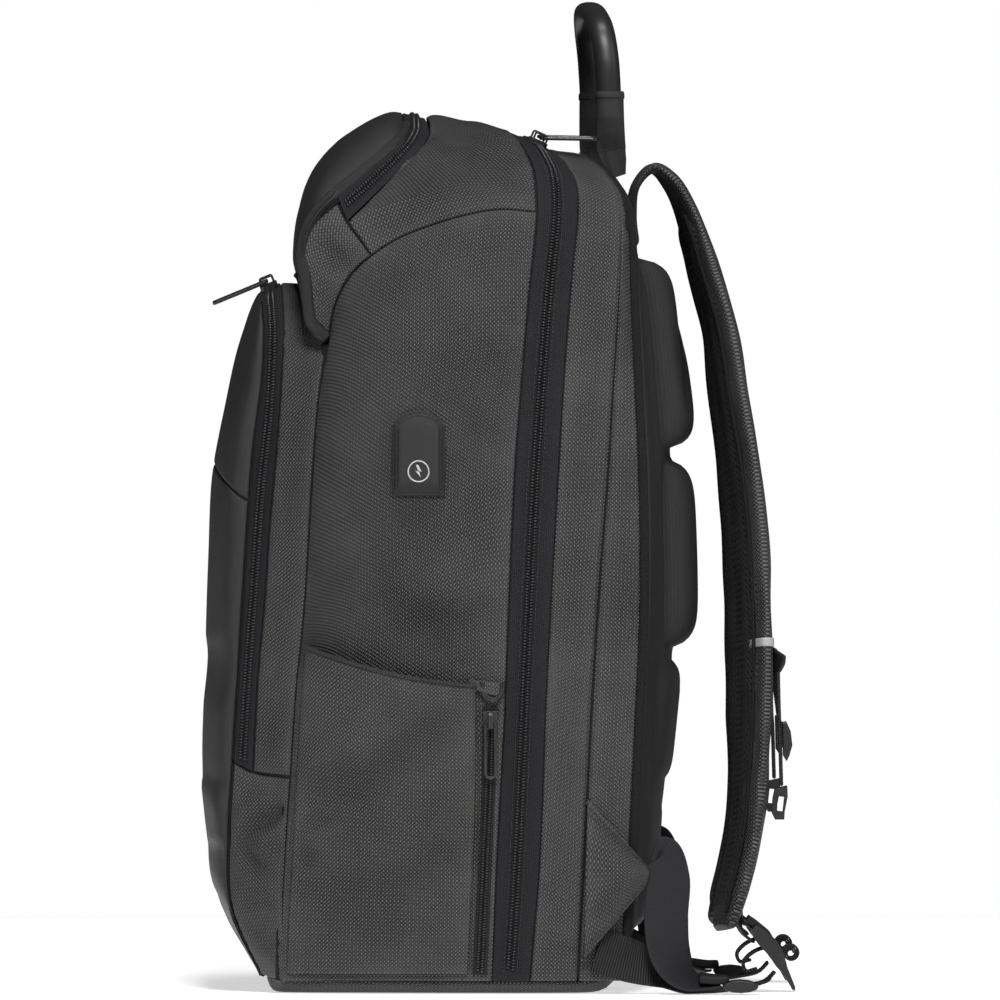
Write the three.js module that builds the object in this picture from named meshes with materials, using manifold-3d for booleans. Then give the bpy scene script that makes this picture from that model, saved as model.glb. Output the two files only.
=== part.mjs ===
// Laptop backpack, standing on its base, with its shoulder straps behind it.
// +Z is up, -Y is the pack's front, +Y is the wearer's side and +X is the wearer's right.
// The origin is the centre of the flat base. All sizes are in millimetres.

import * as THREE from "three";
import { mergeVertices } from "three/addons/utils/BufferGeometryUtils.js";
import Module from "manifold-3d";

const wasm = await Module();
wasm.setup();

// Driving dimensions
const bodyWidth = 320;
const bodyDepth = 242;
const bodyHeight = 496;
const baseCentre = 0.49; // share of bodyDepth from the pack's front to the origin

const shellWall = 1.8; // coated polyester with its lining
const tapeWall = 1.3; // zip tape
const boardWall = 3.5; // back board
const seamGap = 0.4; // between two sewn panels
const cornerGap = 1.3; // where panels meet at an angle
const boardGap = shellWall + seamGap * 2; // the back board stands inside the bound edge

const padThickness = 11.5; // shoulder strap foam
const padWidth = 70;
const meshThickness = 1.6;
const backPadHeight = 25; // foam pads on the back board
const webWidth = 25;
const webThickness = 1.6;
const narrowWebWidth = 15; // sternum strap
const gripThickness = 14;
const gripHeight = 11;

// Colours and finishes
const finishes = {
  coatedCloth: { color: 0x353436, roughness: 0.62, metalness: 0 },
  smoothCloth: { color: 0x2b2a2b, roughness: 0.55, metalness: 0 },
  zipTape: { color: 0x1f1e21, roughness: 0.85, metalness: 0 },
  mesh: { color: 0x151515, roughness: 0.95, metalness: 0 },
  webbing: { color: 0x1a1a1b, roughness: 0.7, metalness: 0 },
  plastic: { color: 0x161617, roughness: 0.4, metalness: 0 },
  rubber: { color: 0x141415, roughness: 0.35, metalness: 0 },
  metal: { color: 0x1c1c1e, roughness: 0.3, metalness: 0.8 },
};
const materials = Object.fromEntries(
  Object.entries(finishes).map(([name, look]) => [
    name,
    new THREE.MeshStandardMaterial({ name, ...look }),
  ]),
);

const pack = new THREE.Group();

function addMesh(name, geometry, finish, parent = pack) {
  const mesh = new THREE.Mesh(geometry, materials[finish]);
  mesh.name = name;
  parent.add(mesh);
  return mesh;
}

// A geometry mirrored to the pack's other side.
function mirroredGeometry(geometry) {
  const bare = geometry.clone();
  bare.deleteAttribute("normal");
  bare.deleteAttribute("uv");
  const other = mergeVertices(bare, 1e-4);
  const places = other.attributes.position;
  for (let i = 0; i < places.count; i++) places.setX(i, -places.getX(i));
  const index = other.index.array;
  for (let i = 0; i < index.length; i += 3) [index[i], index[i + 1]] = [index[i + 1], index[i]];
  other.computeVertexNormals();
  return other;
}

function addPair(name, geometry, finish) {
  addMesh(name + "_right", geometry, finish);
  addMesh(name + "_left", mirroredGeometry(geometry), finish);
}

// Places and curves

// across is a share of half the width, back a share of the depth, up a share of the height.
function place(across, back, up) {
  return new THREE.Vector3(
    (across * bodyWidth) / 2,
    (back - baseCentre) * bodyDepth,
    up * bodyHeight,
  );
}

// A smooth seam through rows of [across, back, up], as a function of t from 0 to 1.
function seam(rows) {
  const points = rows.map(([across, back, up]) => place(across, back, up));
  const line = new THREE.CatmullRomCurve3(points, false, "centripetal");
  return (t) => line.getPoint(Math.min(1, Math.max(0, t)));
}

const blend = (a, b, t) => a.clone().lerp(b, t);
const xAxis = new THREE.Vector3(1, 0, 0);
const yAxis = new THREE.Vector3(0, 1, 0);
const flip = (p) => new THREE.Vector3(-p.x, p.y, p.z);
const part = (line, from, to) => (t) => line(from + (to - from) * t);

// A seam that starts low on the right side, goes over the top and ends low on the left side.
function overTheTop(half) {
  return (t) => (t <= 0.5 ? half(2 * t) : flip(half(2 - 2 * t)));
}

// One curve followed by another, changing over at share.
function joined(first, second, share) {
  return (t) =>
    t < share ? first(t / share) : second((t - share) / (1 - share));
}

// Seams of the pack, right side, from the base upwards. Columns: across, back, up.
const pocketEdgeRows = [
  [0.66, 0.125, 0.018],
  [0.72, 0.053, 0.099],
  [0.75, 0.049, 0.183],
  [0.765, 0.058, 0.261],
  [0.775, 0.074, 0.381],
  [0.775, 0.088, 0.491],
  [0.765, 0.106, 0.612],
  [0.75, 0.128, 0.7],
  [0.72, 0.13, 0.752],
  [0.62, 0.124, 0.782],
];
const pocketCentreRows = [
  [0, 0.125, 0.012],
  [0, 0.032, 0.094],
  [0, -0.007, 0.183],
  [0, -0.012, 0.261],
  [0, -0.005, 0.381],
  [0, 0, 0.491],
  [0, 0.014, 0.604],
  [0, 0.06, 0.708],
  [0, 0.09, 0.76],
  [0, 0.118, 0.794],
];
const zipEndShare = 3 / 9; // row of pocketEdgeRows at which the pocket's zip ends
const panelSplitShare = 0.6155; // where the front panel's slanting seam meets its edge

const pocketZipRearRows = [
  [0.8, 0.102, 0.25],
  [0.81, 0.113, 0.354],
  [0.815, 0.13, 0.447],
  [0.815, 0.141, 0.527],
  [0.81, 0.157, 0.614],
  [0.79, 0.169, 0.7],
  [0.76, 0.173, 0.752],
  [0.63, 0.171, 0.788],
  [0.32, 0.169, 0.801],
  [0, 0.168, 0.804],
];
const mainSeamRows = [
  [0.86, 0.167, 0.014],
  [0.885, 0.171, 0.107],
  [0.895, 0.181, 0.195],
  [0.9, 0.188, 0.244],
  [0.905, 0.201, 0.344],
  [0.91, 0.214, 0.401],
  [0.91, 0.227, 0.493],
  [0.905, 0.241, 0.605],
  [0.9, 0.25, 0.661],
  [0.89, 0.276, 0.735],
];
const gussetTopRows = [
  [0.9, 0.188, 0.246],
  [0.905, 0.201, 0.344],
  [0.91, 0.218, 0.425],
  [0.91, 0.231, 0.527],
  [0.905, 0.242, 0.614],
  [0.9, 0.255, 0.685],
  [0.87, 0.275, 0.735],
  [0.78, 0.282, 0.777],
  [0.5, 0.28, 0.796],
  [0, 0.278, 0.8],
];
const zipFrontRows = [
  [0.95, 0.657, 0.014],
  [0.985, 0.669, 0.158],
  [1, 0.685, 0.302],
  [1, 0.697, 0.446],
  [0.995, 0.711, 0.594],
  [0.985, 0.727, 0.694],
  [0.965, 0.743, 0.787],
  [0.93, 0.762, 0.884],
  [0.86, 0.757, 0.928],
  [0.7, 0.734, 0.957],
  [0.4, 0.711, 0.972],
  [0, 0.699, 0.976],
];
const zipRearRows = [
  [0.95, 0.745, 0.014],
  [0.985, 0.769, 0.164],
  [1, 0.782, 0.331],
  [1, 0.794, 0.446],
  [0.995, 0.81, 0.584],
  [0.98, 0.824, 0.7],
  [0.96, 0.84, 0.8],
  [0.92, 0.856, 0.878],
  [0.86, 0.854, 0.914],
  [0.7, 0.833, 0.938],
  [0.4, 0.806, 0.952],
  [0, 0.79, 0.957],
];
const rearSeamRows = [
  [0.93, 0.856, 0.014],
  [0.96, 0.87, 0.142],
  [0.975, 0.884, 0.288],
  [0.972, 0.905, 0.454],
  [0.965, 0.926, 0.584],
  [0.95, 0.94, 0.69],
  [0.93, 0.954, 0.79],
  [0.9, 0.961, 0.865],
  [0.84, 0.956, 0.902],
  [0.68, 0.924, 0.929],
  [0.4, 0.886, 0.946],
  [0, 0.872, 0.951],
];
const backEdgeRows = [
  [0.9, 0.958, 0.014],
  [0.93, 0.977, 0.152],
  [0.94, 0.993, 0.301],
  [0.94, 1.005, 0.446],
  [0.935, 1.002, 0.584],
  [0.92, 0.993, 0.68],
  [0.9, 0.984, 0.775],
  [0.87, 0.979, 0.85],
  [0.81, 0.969, 0.89],
  [0.64, 0.945, 0.914],
  [0.38, 0.918, 0.931],
  [0, 0.905, 0.936],
];
const backTopShare = 9 / 11; // row of backEdgeRows at which the back board's sides end
const backCentreRows = [
  [0, 0.965, 0.014],
  [0, 0.99, 0.152],
  [0, 1.01, 0.301],
  [0, 1.022, 0.446],
  [0, 1.018, 0.584],
  [0, 1.006, 0.68],
  [0, 0.996, 0.775],
  [0, 0.986, 0.85],
  [0, 0.958, 0.903],
  [0, 0.909, 0.935],
];
const hoodSeamRows = [
  [0.9, 0.282, 0.742],
  [0.915, 0.296, 0.779],
  [0.925, 0.329, 0.811],
  [0.94, 0.377, 0.834],
  [0.95, 0.44, 0.854],
  [0.953, 0.523, 0.87],
  [0.95, 0.609, 0.882],
  [0.942, 0.68, 0.887],
  [0.93, 0.762, 0.884],
];
const hoodSideShare = 3 / 8; // row of hoodSeamRows where the hood's short side piece ends
const hoodPipeRows = [
  [0.915, 0.272, 0.742],
  [0.945, 0.238, 0.76],
  [0.955, 0.229, 0.784],
  [0.955, 0.224, 0.81],
  [0.95, 0.215, 0.836],
  [0.945, 0.222, 0.858],
  [0.935, 0.248, 0.883],
  [0.92, 0.296, 0.906],
  [0.9, 0.359, 0.931],
  [0.87, 0.412, 0.953],
  [0.8, 0.447, 0.97],
  [0.66, 0.456, 0.983],
];
const hoodCentreRows = [
  [0, 0.205, 0.812],
  [0, 0.2, 0.826],
  [0, 0.2, 0.845],
  [0, 0.203, 0.866],
  [0, 0.213, 0.89],
  [0, 0.229, 0.914],
  [0, 0.255, 0.938],
  [0, 0.296, 0.962],
  [0, 0.34, 0.977],
  [0, 0.386, 0.99],
  [0, 0.424, 0.997],
  [0, 0.452, 0.997],
];
const hoodZipStart = 7 / 11; // row of hoodPipeRows where the hood's zip starts
const hoodZipRearRows = [
  [0.93, 0.322, 0.872],
  [0.92, 0.373, 0.896],
  [0.905, 0.424, 0.921],
  [0.88, 0.475, 0.946],
  [0.82, 0.507, 0.965],
  [0.68, 0.512, 0.979],
  [0.38, 0.508, 0.989],
  [0, 0.505, 0.991],
];
const hoodSideEndRows = [
  [0.94, 0.377, 0.834],
  [0.936, 0.35, 0.853],
  [0.93, 0.322, 0.872],
  [0.925, 0.302, 0.892],
];
// How square the pack's rounded sections are, as powers of their rises
const pocketSquareness = 3.2;
const hoodSquareness = 3.4;
const hoodHemSquareness = 8;
const baseSquareness = 9;
const baseRimSquareness = 24;
const backSquareness = 7;

// Surfaces, each a function of u and v from 0 to 1

// Rises across a section, from 0 at its edges (s of 0 and 1) to 1 at its centre.
// boxy ends stand square to its edges, and an arch leaves them at a slope.
const fromCentre = (s) => Math.min(1, Math.abs(2 * s - 1));
const boxy = (power) => (s) => Math.pow(1 - Math.pow(fromCentre(s), power), 1 / power);
const arch = (power) => (s) => 1 - Math.pow(fromCentre(s), power);

// Spaces u so that the steep ends of a section get as many steps as its middle.
const crownStep = (u) => 0.5 - 0.5 * Math.cos(Math.PI * u);

// A crowned panel: at each v its section runs from the right edge, over the centre, to the left,
// with plan as its rise in depth and rise as its rise in height.
function crowned(edge, centre, plan, rise = arch(2), spacing = crownStep) {
  return (u, v) => crownedAt(edge, centre, plan, rise, spacing(u), v);
}

function crownedAt(edge, centre, plan, rise, s, v) {
  const e = edge(v);
  const c = centre(v);
  return new THREE.Vector3(
    e.x * (1 - 2 * s),
    e.y + (c.y - e.y) * plan(s, v),
    e.z + (c.z - e.z) * rise(s, v),
  );
}

// A patch between two long seams, with its two ends following their own curves if given.
function patch(left, right, bottom, top, swell = 0, way = new THREE.Vector3(1, 0, 0)) {
  return (u, v) => {
    const point = blend(left(v), right(v), u);
    if (bottom) {
      const plain = blend(left(0), right(0), u);
      point.addScaledVector(bottom(u).sub(plain), 1 - v);
    }
    if (top) {
      const plain = blend(left(1), right(1), u);
      point.addScaledVector(top(u).sub(plain), v);
    }
    const height = swell * Math.sin(Math.PI * u) * Math.sin(Math.PI * v);
    return point.addScaledVector(way, height);
  };
}

// Solids from points

// A geometry from a list of points and faces, each face a list of point numbers seen from outside.
function geometryOf(points, faces) {
  const geometry = new THREE.BufferGeometry();
  const places = new Float32Array(points.length * 3);
  points.forEach((p, i) => p.toArray(places, 3 * i));
  const index = faces.flatMap((f) =>
    f.length === 3 ? f : [f[0], f[1], f[2], f[0], f[2], f[3]],
  );
  geometry.setAttribute("position", new THREE.BufferAttribute(places, 3));
  geometry.setIndex(index);
  geometry.computeVertexNormals();
  return geometry;
}

function lengthAlong(surface, alongU) {
  const steps = 8;
  let sum = 0;
  for (let i = 0; i < steps; i++) {
    const a = i / steps;
    const b = (i + 1) / steps;
    const p = alongU ? surface(a, 0.5) : surface(0.5, a);
    const q = alongU ? surface(b, 0.5) : surface(0.5, b);
    sum += p.distanceTo(q);
  }
  return sum;
}

// Closes the space between two grids of points, each a list of vSteps + 1 rows.
function closedGrid(outer, inner, uSteps, vSteps, outwards) {
  const count = outer.length;
  const at = (i, j) => j * (uSteps + 1) + i;
  const faces = [];
  for (let j = 0; j < vSteps; j++)
    for (let i = 0; i < uSteps; i++) {
      const quad = [at(i, j), at(i + 1, j), at(i + 1, j + 1), at(i, j + 1)];
      faces.push(quad);
      faces.push(quad.map((k) => k + count).reverse());
    }
  const rim = [];
  for (let i = 0; i < uSteps; i++) rim.push([at(i, 0), at(i + 1, 0)]);
  for (let j = 0; j < vSteps; j++) rim.push([at(uSteps, j), at(uSteps, j + 1)]);
  for (let i = uSteps; i > 0; i--) rim.push([at(i, vSteps), at(i - 1, vSteps)]);
  for (let j = vSteps; j > 0; j--) rim.push([at(0, j), at(0, j - 1)]);
  for (const [a, b] of rim) faces.push([b, a, a + count, b + count]);
  const facing = outwards ? faces : faces.map((f) => [...f].reverse());
  return geometryOf([...outer, ...inner], facing);
}

// A panel of even thickness: the surface is its outer face, and the wall goes inwards.
// gaps are the clearances left at u 0, u 1, v 0 and v 1. The inner face is drawn in further, by
// mitre times the wall, so that panels that meet at an angle stay clear of each other.
function sheet(surface, uSteps, vSteps, wall, gaps = {}, mitre = 0.6) {
  const { u0 = seamGap, u1 = seamGap, v0 = seamGap, v1 = seamGap } = gaps;
  const alongU = lengthAlong(surface, true);
  const alongV = lengthAlong(surface, false);
  const step = 1e-3;
  const normalAt = (u, v) => {
    const across = surface(Math.min(1, u + step), v).sub(surface(Math.max(0, u - step), v));
    const upwards = surface(u, Math.min(1, v + step)).sub(surface(u, Math.max(0, v - step)));
    return across.cross(upwards).normalize();
  };
  const outwards = surface(0.5, 0.5).sub(heart);
  const turn = normalAt(0.5, 0.5).dot(outwards) > 0 ? 1 : -1;
  const grid = (extra, depth) => {
    const low = [(u0 + extra) / alongU, (v0 + extra) / alongV];
    const span = [1 - (u0 + u1 + 2 * extra) / alongU, 1 - (v0 + v1 + 2 * extra) / alongV];
    const points = [];
    for (let j = 0; j <= vSteps; j++)
      for (let i = 0; i <= uSteps; i++) {
        const u = low[0] + (i / uSteps) * span[0];
        const v = low[1] + (j / vSteps) * span[1];
        points.push(surface(u, v).addScaledVector(normalAt(u, v), -turn * depth));
      }
    return points;
  };
  return closedGrid(grid(0, 0), grid(mitre * wall, wall), uSteps, vSteps, turn > 0);
}

const heart = place(0, 0.55, 0.5); // a point inside the pack, from which walls face outwards

// A pad on a face: its foot lies at clearance off the face, and its height varies.
function pad(face, height, uSteps, vSteps, outward) {
  const foot = [];
  const top = [];
  for (let j = 0; j <= vSteps; j++)
    for (let i = 0; i <= uSteps; i++) {
      const u = i / uSteps;
      const v = j / vSteps;
      const p = face(u, v).addScaledVector(outward, seamGap);
      foot.push(p);
      top.push(p.clone().addScaledVector(outward, height(u, v)));
    }
  const along = face(1, 0.5).sub(face(0, 0.5));
  const upwards = face(0.5, 1).sub(face(0.5, 0));
  return closedGrid(top, foot, uSteps, vSteps, along.cross(upwards).dot(outward) > 0);
}

// A band carried along rows of [across, back, up, turn, widthShare, thicknessShare]. turn is the
// angle in degrees of its width from the X axis (or from level), about its path. offset moves it
// along its face, and from and to are the shares of the path between which it lies.
function band(rows, width, thickness, steps, shape = {}) {
  const { bevel = 0.3, offset = 0, from = 0, to = 1, level = xAxis } = shape;
  const line = new THREE.CatmullRomCurve3(
    rows.map(([across, back, up]) => place(across, back, up)),
    false,
    "centripetal",
  );
  const column = (t, index, fallback) => {
    const scaled = t * (rows.length - 1);
    const row = Math.min(rows.length - 2, Math.floor(scaled));
    const low = rows[row][index] ?? fallback;
    const high = rows[row + 1][index] ?? fallback;
    return low + (high - low) * (scaled - row);
  };
  const section = bandSection(bevel);
  const points = [];
  const faces = [];
  const n = section.length;
  for (let k = 0; k <= steps; k++) {
    const t = from + ((to - from) * k) / steps;
    const middle = line.getPoint(t);
    const along = line.getTangent(t);
    const side = level.clone();
    side.addScaledVector(along, -side.dot(along)).normalize();
    side.applyAxisAngle(along, THREE.MathUtils.degToRad(column(t, 3, 0)));
    const face = along.clone().cross(side);
    const halfWidth = (column(t, 4, 1) * width) / 2;
    const halfThickness = (column(t, 5, 1) * thickness) / 2;
    for (const [s, f, corner] of section)
      points.push(
        middle
          .clone()
          .addScaledVector(side, s * (halfWidth - corner * halfThickness))
          .addScaledVector(face, f * halfThickness + offset),
      );
  }
  for (let k = 0; k < steps; k++)
    for (let i = 0; i < n; i++) {
      const j = (i + 1) % n;
      const quad = [k * n + i, k * n + j, (k + 1) * n + j, (k + 1) * n + i];
      // Both faces of a twisted band are folded along the same diagonal.
      if (section[i][1] > 0) quad.push(quad.shift());
      faces.push(quad);
    }
  const last = steps * n;
  for (let i = 1; i < n - 1; i++) {
    faces.push([0, i + 1, i]);
    faces.push([last, last + i, last + i + 1]);
  }
  return geometryOf(points, faces);
}

// Corners of a band's section: shares of the half width and half thickness, and how far a
// corner is drawn in, in half thicknesses.
function bandSection(bevel) {
  if (bevel === 0) return [[-1, -1, 0], [1, -1, 0], [1, 1, 0], [-1, 1, 0]];
  const b = 1 - bevel * 2;
  const c = bevel * 2;
  return [
    [-1, -b, 0], [-1, -1, c], [1, -1, c], [1, -b, 0],
    [1, b, 0], [1, 1, c], [-1, 1, c], [-1, b, 0],
  ];
}

// Joins and cuts closed geometries.
function solidOf(geometry) {
  const bare = geometry.index ? geometry.toNonIndexed() : geometry.clone();
  for (const name of Object.keys(bare.attributes))
    if (name !== "position") bare.deleteAttribute(name);
  const merged = mergeVertices(bare, 1e-4);
  return new wasm.Manifold(
    new wasm.Mesh({
      numProp: 3,
      vertProperties: merged.attributes.position.array,
      triVerts: new Uint32Array(merged.index.array),
    }),
  );
}

function geometryFrom(solid) {
  const made = solid.getMesh();
  const geometry = new THREE.BufferGeometry();
  geometry.setAttribute("position", new THREE.BufferAttribute(made.vertProperties, 3));
  geometry.setIndex(new THREE.BufferAttribute(made.triVerts, 1));
  geometry.computeVertexNormals();
  return geometry;
}

const fused = (...geometries) =>
  geometryFrom(geometries.map(solidOf).reduce((a, b) => a.add(b)));
const cutFrom = (body, ...tools) =>
  geometryFrom(tools.map(solidOf).reduce((a, b) => a.subtract(b), solidOf(body)));

// Front pocket: a crowned front panel in two pieces, its zip, and the lower side pieces

const pocketEdge = seam(pocketEdgeRows);
const pocketCentre = seam(pocketCentreRows);
const frontPanel = crowned(pocketEdge, pocketCentre, boxy(pocketSquareness));
const splitRise = 0.045; // the slanting seam climbs towards the middle by this share of the panel

// The front panel's slanting seam, as a v for each u
const splitAt = (u) => panelSplitShare + splitRise * boxy(2)(crownStep(u));
const lowerFront = (u, v) => frontPanel(u, v * splitAt(u));
const upperFront = (u, v) => frontPanel(u, splitAt(u) + v * (1 - splitAt(u)));
addMesh(
  "front_panel_lower",
  sheet(lowerFront, 12, 8, shellWall, { v0: cornerGap * 2, v1: seamGap * 0.6 }),
  "smoothCloth",
);
addMesh(
  "front_panel_upper",
  sheet(upperFront, 12, 5, shellWall, { v0: seamGap * 0.6, v1: cornerGap * 2 }),
  "smoothCloth",
);

const frontTop = (t) => frontPanel(t / 2, 1);
const pocketZipFront = overTheTop(joined(part(pocketEdge, zipEndShare, 1), frontTop, 0.7));
const pocketZipRear = overTheTop(seam(pocketZipRearRows));
addMesh(
  "pocket_zip_tape",
  sheet(patch(pocketZipFront, pocketZipRear), 1, 30, tapeWall, { u0: seamGap * 1.5 }),
  "zipTape",
);

const mainSeam = seam(mainSeamRows);
const gussetRear = overTheTop(seam(gussetTopRows));
addMesh(
  "front_gusset",
  sheet(patch(pocketZipRear, gussetRear), 2, 30, shellWall),
  "coatedCloth",
);

const zipEndSeam = seam([
  pocketEdgeRows[3],
  pocketZipRearRows[0],
  mainSeamRows[3],
]);
const lowSide = patch(
  part(pocketEdge, 0, zipEndShare),
  part(mainSeam, 0, 3 / 9),
  null,
  zipEndSeam,
  3,
);
addPair(
  "pocket_low_side",
  sheet(lowSide, 4, 5, shellWall, { v0: cornerGap, v1: seamGap * 2 }),
  "coatedCloth",
);

// Main compartment: side panels, side pockets with their zips, and the main zip

const hoodSeam = seam(hoodSeamRows);
const zipFront = seam(zipFrontRows);
const zipCornerShare = 7 / 11; // row of zipFrontRows level with the hood seam
const sideSwell = 5;
const sidePanel = patch(
  mainSeam,
  part(zipFront, 0, zipCornerShare),
  null,
  hoodSeam,
  sideSwell,
);

const inRange = (share) => Math.min(0.998, Math.max(0.001, share));

// The point of the right side panel at back and up, moved out by lift.
function onSide(back, up, lift = 0) {
  const wanted = place(0, back, up);
  const step = 1e-3;
  let u = 0.5;
  let v = 0.5;
  for (let round = 0; round < 8; round++) {
    const p = sidePanel(u, v);
    const du = sidePanel(u + step, v).sub(p).divideScalar(step);
    const dv = sidePanel(u, v + step).sub(p).divideScalar(step);
    const off = wanted.clone().sub(p);
    const det = du.y * dv.z - dv.y * du.z;
    u = inRange(u + (off.y * dv.z - dv.y * off.z) / det);
    v = inRange(v + (du.y * off.z - off.y * du.z) / det);
  }
  const found = sidePanel(u, v);
  found.x += lift;
  return found;
}

// Values of a table's columns at share t, its rows evenly spaced.
function rowAt(rows, t) {
  const scaled = Math.min(1, Math.max(0, t)) * (rows.length - 1);
  const row = Math.min(rows.length - 2, Math.floor(scaled));
  return rows[row].map((low, i) => low + (rows[row + 1][i] - low) * (scaled - row));
}

// Side pocket: its sides lie on the side panel and its mouth stands off it.
// Columns: back at the front edge, up there, back at the rear edge, up there, share of the mouth.
const sidePocketRows = [
  [0.18, 0.022, 0.602, 0.022, 0.15],
  [0.186, 0.11, 0.612, 0.1, 0.62],
  [0.197, 0.205, 0.62, 0.185, 0.85],
  [0.208, 0.3, 0.624, 0.268, 0.95],
  [0.222, 0.394, 0.624, 0.349, 1],
];
const pocketLift = shellWall + seamGap * 1.5;
const pocketMouth = 13;
function sidePocket(u, v) {
  const [frontBack, frontUp, rearBack, rearUp, stand] = rowAt(sidePocketRows, v);
  const sag = 0.008 * Math.sin(Math.PI * u) * v;
  return onSide(
    frontBack + (rearBack - frontBack) * u,
    frontUp + (rearUp - frontUp) * u - sag,
    pocketLift + pocketMouth * stand * Math.pow(Math.sin(Math.PI * u), 0.7),
  );
}
// Columns: back at the zip's front edge, back at its rear edge, up.
const sideZipRows = [
  [0.61, 0.648, 0.022],
  [0.622, 0.655, 0.12],
  [0.631, 0.664, 0.22],
  [0.634, 0.674, 0.326],
];
function sideZip(u, v) {
  const [front, rear, up] = rowAt(sideZipRows, v);
  return onSide(front + (rear - front) * u, up, tapeWall + seamGap * 1.5);
}
// The little flap over the top of the side zip. Columns: back, up at its foot, up at its head.
const garageRows = [
  [0.636, 0.342, 0.354],
  [0.682, 0.336, 0.351],
];
const garageLift = tapeWall + seamGap;
function garage(u, v) {
  const [back, low, high] = rowAt(garageRows, u);
  return onSide(back, low + (high - low) * v, garageLift);
}

// Flap over the charging socket: an arched, domed patch on the right side only
const flapBack = 0.487;
const flapFoot = 0.562;
const flapWidth = 31;
const flapHeight = 49;
const flapArch = 10; // rise of its head over its shoulders
const flapDome = 5;
function usbFlap(u, v) {
  const fromMiddle = 2 * u - 1;
  const head = flapHeight - flapArch * Math.pow(Math.abs(fromMiddle), 2.4);
  const dome = flapDome * Math.cos((Math.PI / 2) * fromMiddle) * Math.sin(Math.PI * Math.min(1, v * 1.1) * 0.9);
  return onSide(
    flapBack + ((fromMiddle * flapWidth) / 2) / bodyDepth,
    flapFoot + (v * head) / bodyHeight,
    pocketLift + dome,
  );
}
addMesh("usb_flap", sheet(usbFlap, 6, 6, shellWall), "smoothCloth");

addPair("side_panel", sheet(sidePanel, 6, 9, shellWall, { v0: cornerGap }), "coatedCloth");
addPair("side_pocket", sheet(sidePocket, 8, 6, shellWall), "coatedCloth");
addPair("side_zip_tape", sheet(sideZip, 1, 5, tapeWall, {}, 0), "zipTape");
addPair("side_zip_garage", sheet(garage, 1, 1, tapeWall, {}, 0), "coatedCloth");

const mainZipFront = overTheTop(zipFront);
const mainZipRear = overTheTop(seam(zipRearRows));
addMesh(
  "main_zip_tape",
  sheet(patch(mainZipFront, mainZipRear), 1, 38, tapeWall, { v0: cornerGap, v1: cornerGap }),
  "zipTape",
);

// Hood: crowned front, its zip, two short side pieces and the top

const hoodPipe = seam(hoodPipeRows);
const hoodFront = crowned(
  hoodPipe,
  seam(hoodCentreRows),
  boxy(hoodSquareness),
  arch(hoodHemSquareness),
);
addMesh(
  "hood_front",
  sheet(hoodFront, 12, 9, shellWall, { v1: cornerGap }),
  "smoothCloth",
);
const hoodTopEdge = (t) => hoodFront(t / 2, 1);
const hoodZipFront = overTheTop(joined(part(hoodPipe, hoodZipStart, 1), hoodTopEdge, 0.6));
const hoodZipRearHalf = seam(hoodZipRearRows);
const hoodZipRear = overTheTop(hoodZipRearHalf);
addMesh(
  "hood_zip_tape",
  sheet(patch(hoodZipFront, hoodZipRear), 1, 24, tapeWall, { u0: seamGap * 2 }),
  "zipTape",
);
const hoodSideEnd = seam(hoodSideEndRows);
const hoodSide = patch(
  part(hoodPipe, 0.02, hoodZipStart),
  part(hoodSeam, 0, hoodSideShare),
  null,
  (t) => hoodSideEnd(1 - t),
);
addPair(
  "hood_side",
  sheet(hoodSide, 3, 6, shellWall, { u0: cornerGap * 1.6, v0: cornerGap * 7 }),
  "coatedCloth",
);

// The hood's top piece starts at the side pieces, runs round the zip and ends at the main zip.
const hoodTopFrontHalf = joined(part(hoodSideEnd, 0, 2 / 3), hoodZipRearHalf, 0.15);
const hoodTopRearHalf = joined(
  part(zipFront, zipCornerShare, zipCornerShare + 0.02),
  part(zipFront, zipCornerShare + 0.02, 1),
  0.1,
);
const hoodTopRight = part(hoodSeam, hoodSideShare, 1);
const hoodTop = patch(
  overTheTop(hoodTopFrontHalf),
  overTheTop(hoodTopRearHalf),
  hoodTopRight,
  (t) => flip(hoodTopRight(t)),
);
addMesh("hood_top", sheet(hoodTop, 4, 26, shellWall), "coatedCloth");

// Rear compartment: two strips, the bound edge and the back board

const rearSeam = overTheTop(seam(rearSeamRows));
const backEdge = overTheTop(seam(backEdgeRows));
addMesh(
  "rear_strip",
  sheet(patch(mainZipRear, rearSeam), 2, 34, shellWall, { v0: cornerGap, v1: cornerGap }),
  "coatedCloth",
);
addMesh(
  "rear_wedge",
  sheet(patch(rearSeam, backEdge), 1, 34, shellWall, { v0: cornerGap, v1: cornerGap }),
  "coatedCloth",
);
const backEdgeSide = part(seam(backEdgeRows), 0, backTopShare);
const backCentre = seam(backCentreRows);
// The board is square in plan, and its top follows the arched edge.
const backPlan = (s, v) => arch(2 + (backSquareness - 2) * (1 - Math.pow(v, 5)))(s);
const backBoard = crowned(backEdgeSide, backCentre, backPlan, arch(2), (u) => u);
addMesh(
  "back_board",
  sheet(backBoard, 12, 11, boardWall, { u0: boardGap, u1: boardGap, v0: boardGap, v1: boardGap }),
  "mesh",
);

// Base: flat where the pack stands, turned up at its edge
const baseEdgeRows = [
  [0.62, 0.135, 0.012],
  [0.82, 0.175, 0.012],
  [0.89, 0.4, 0.012],
  [0.925, 0.657, 0.012],
  [0.925, 0.75, 0.012],
  [0.905, 0.856, 0.012],
  [0.88, 0.945, 0.012],
];
const baseCentreRows = baseEdgeRows.map(([, back]) => [0, back, -0.0005]);
const baseCurved = crowned(
  seam(baseEdgeRows),
  seam(baseCentreRows),
  boxy(baseSquareness),
  arch(baseRimSquareness),
);
function base(u, v) {
  const point = baseCurved(u, v);
  const endRise = 9 * Math.pow(Math.abs(2 * v - 1), 14);
  point.z = Math.max(0, point.z) + endRise;
  return point;
}
addMesh("base_panel", sheet(base, 12, 8, shellWall), "coatedCloth");

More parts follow.
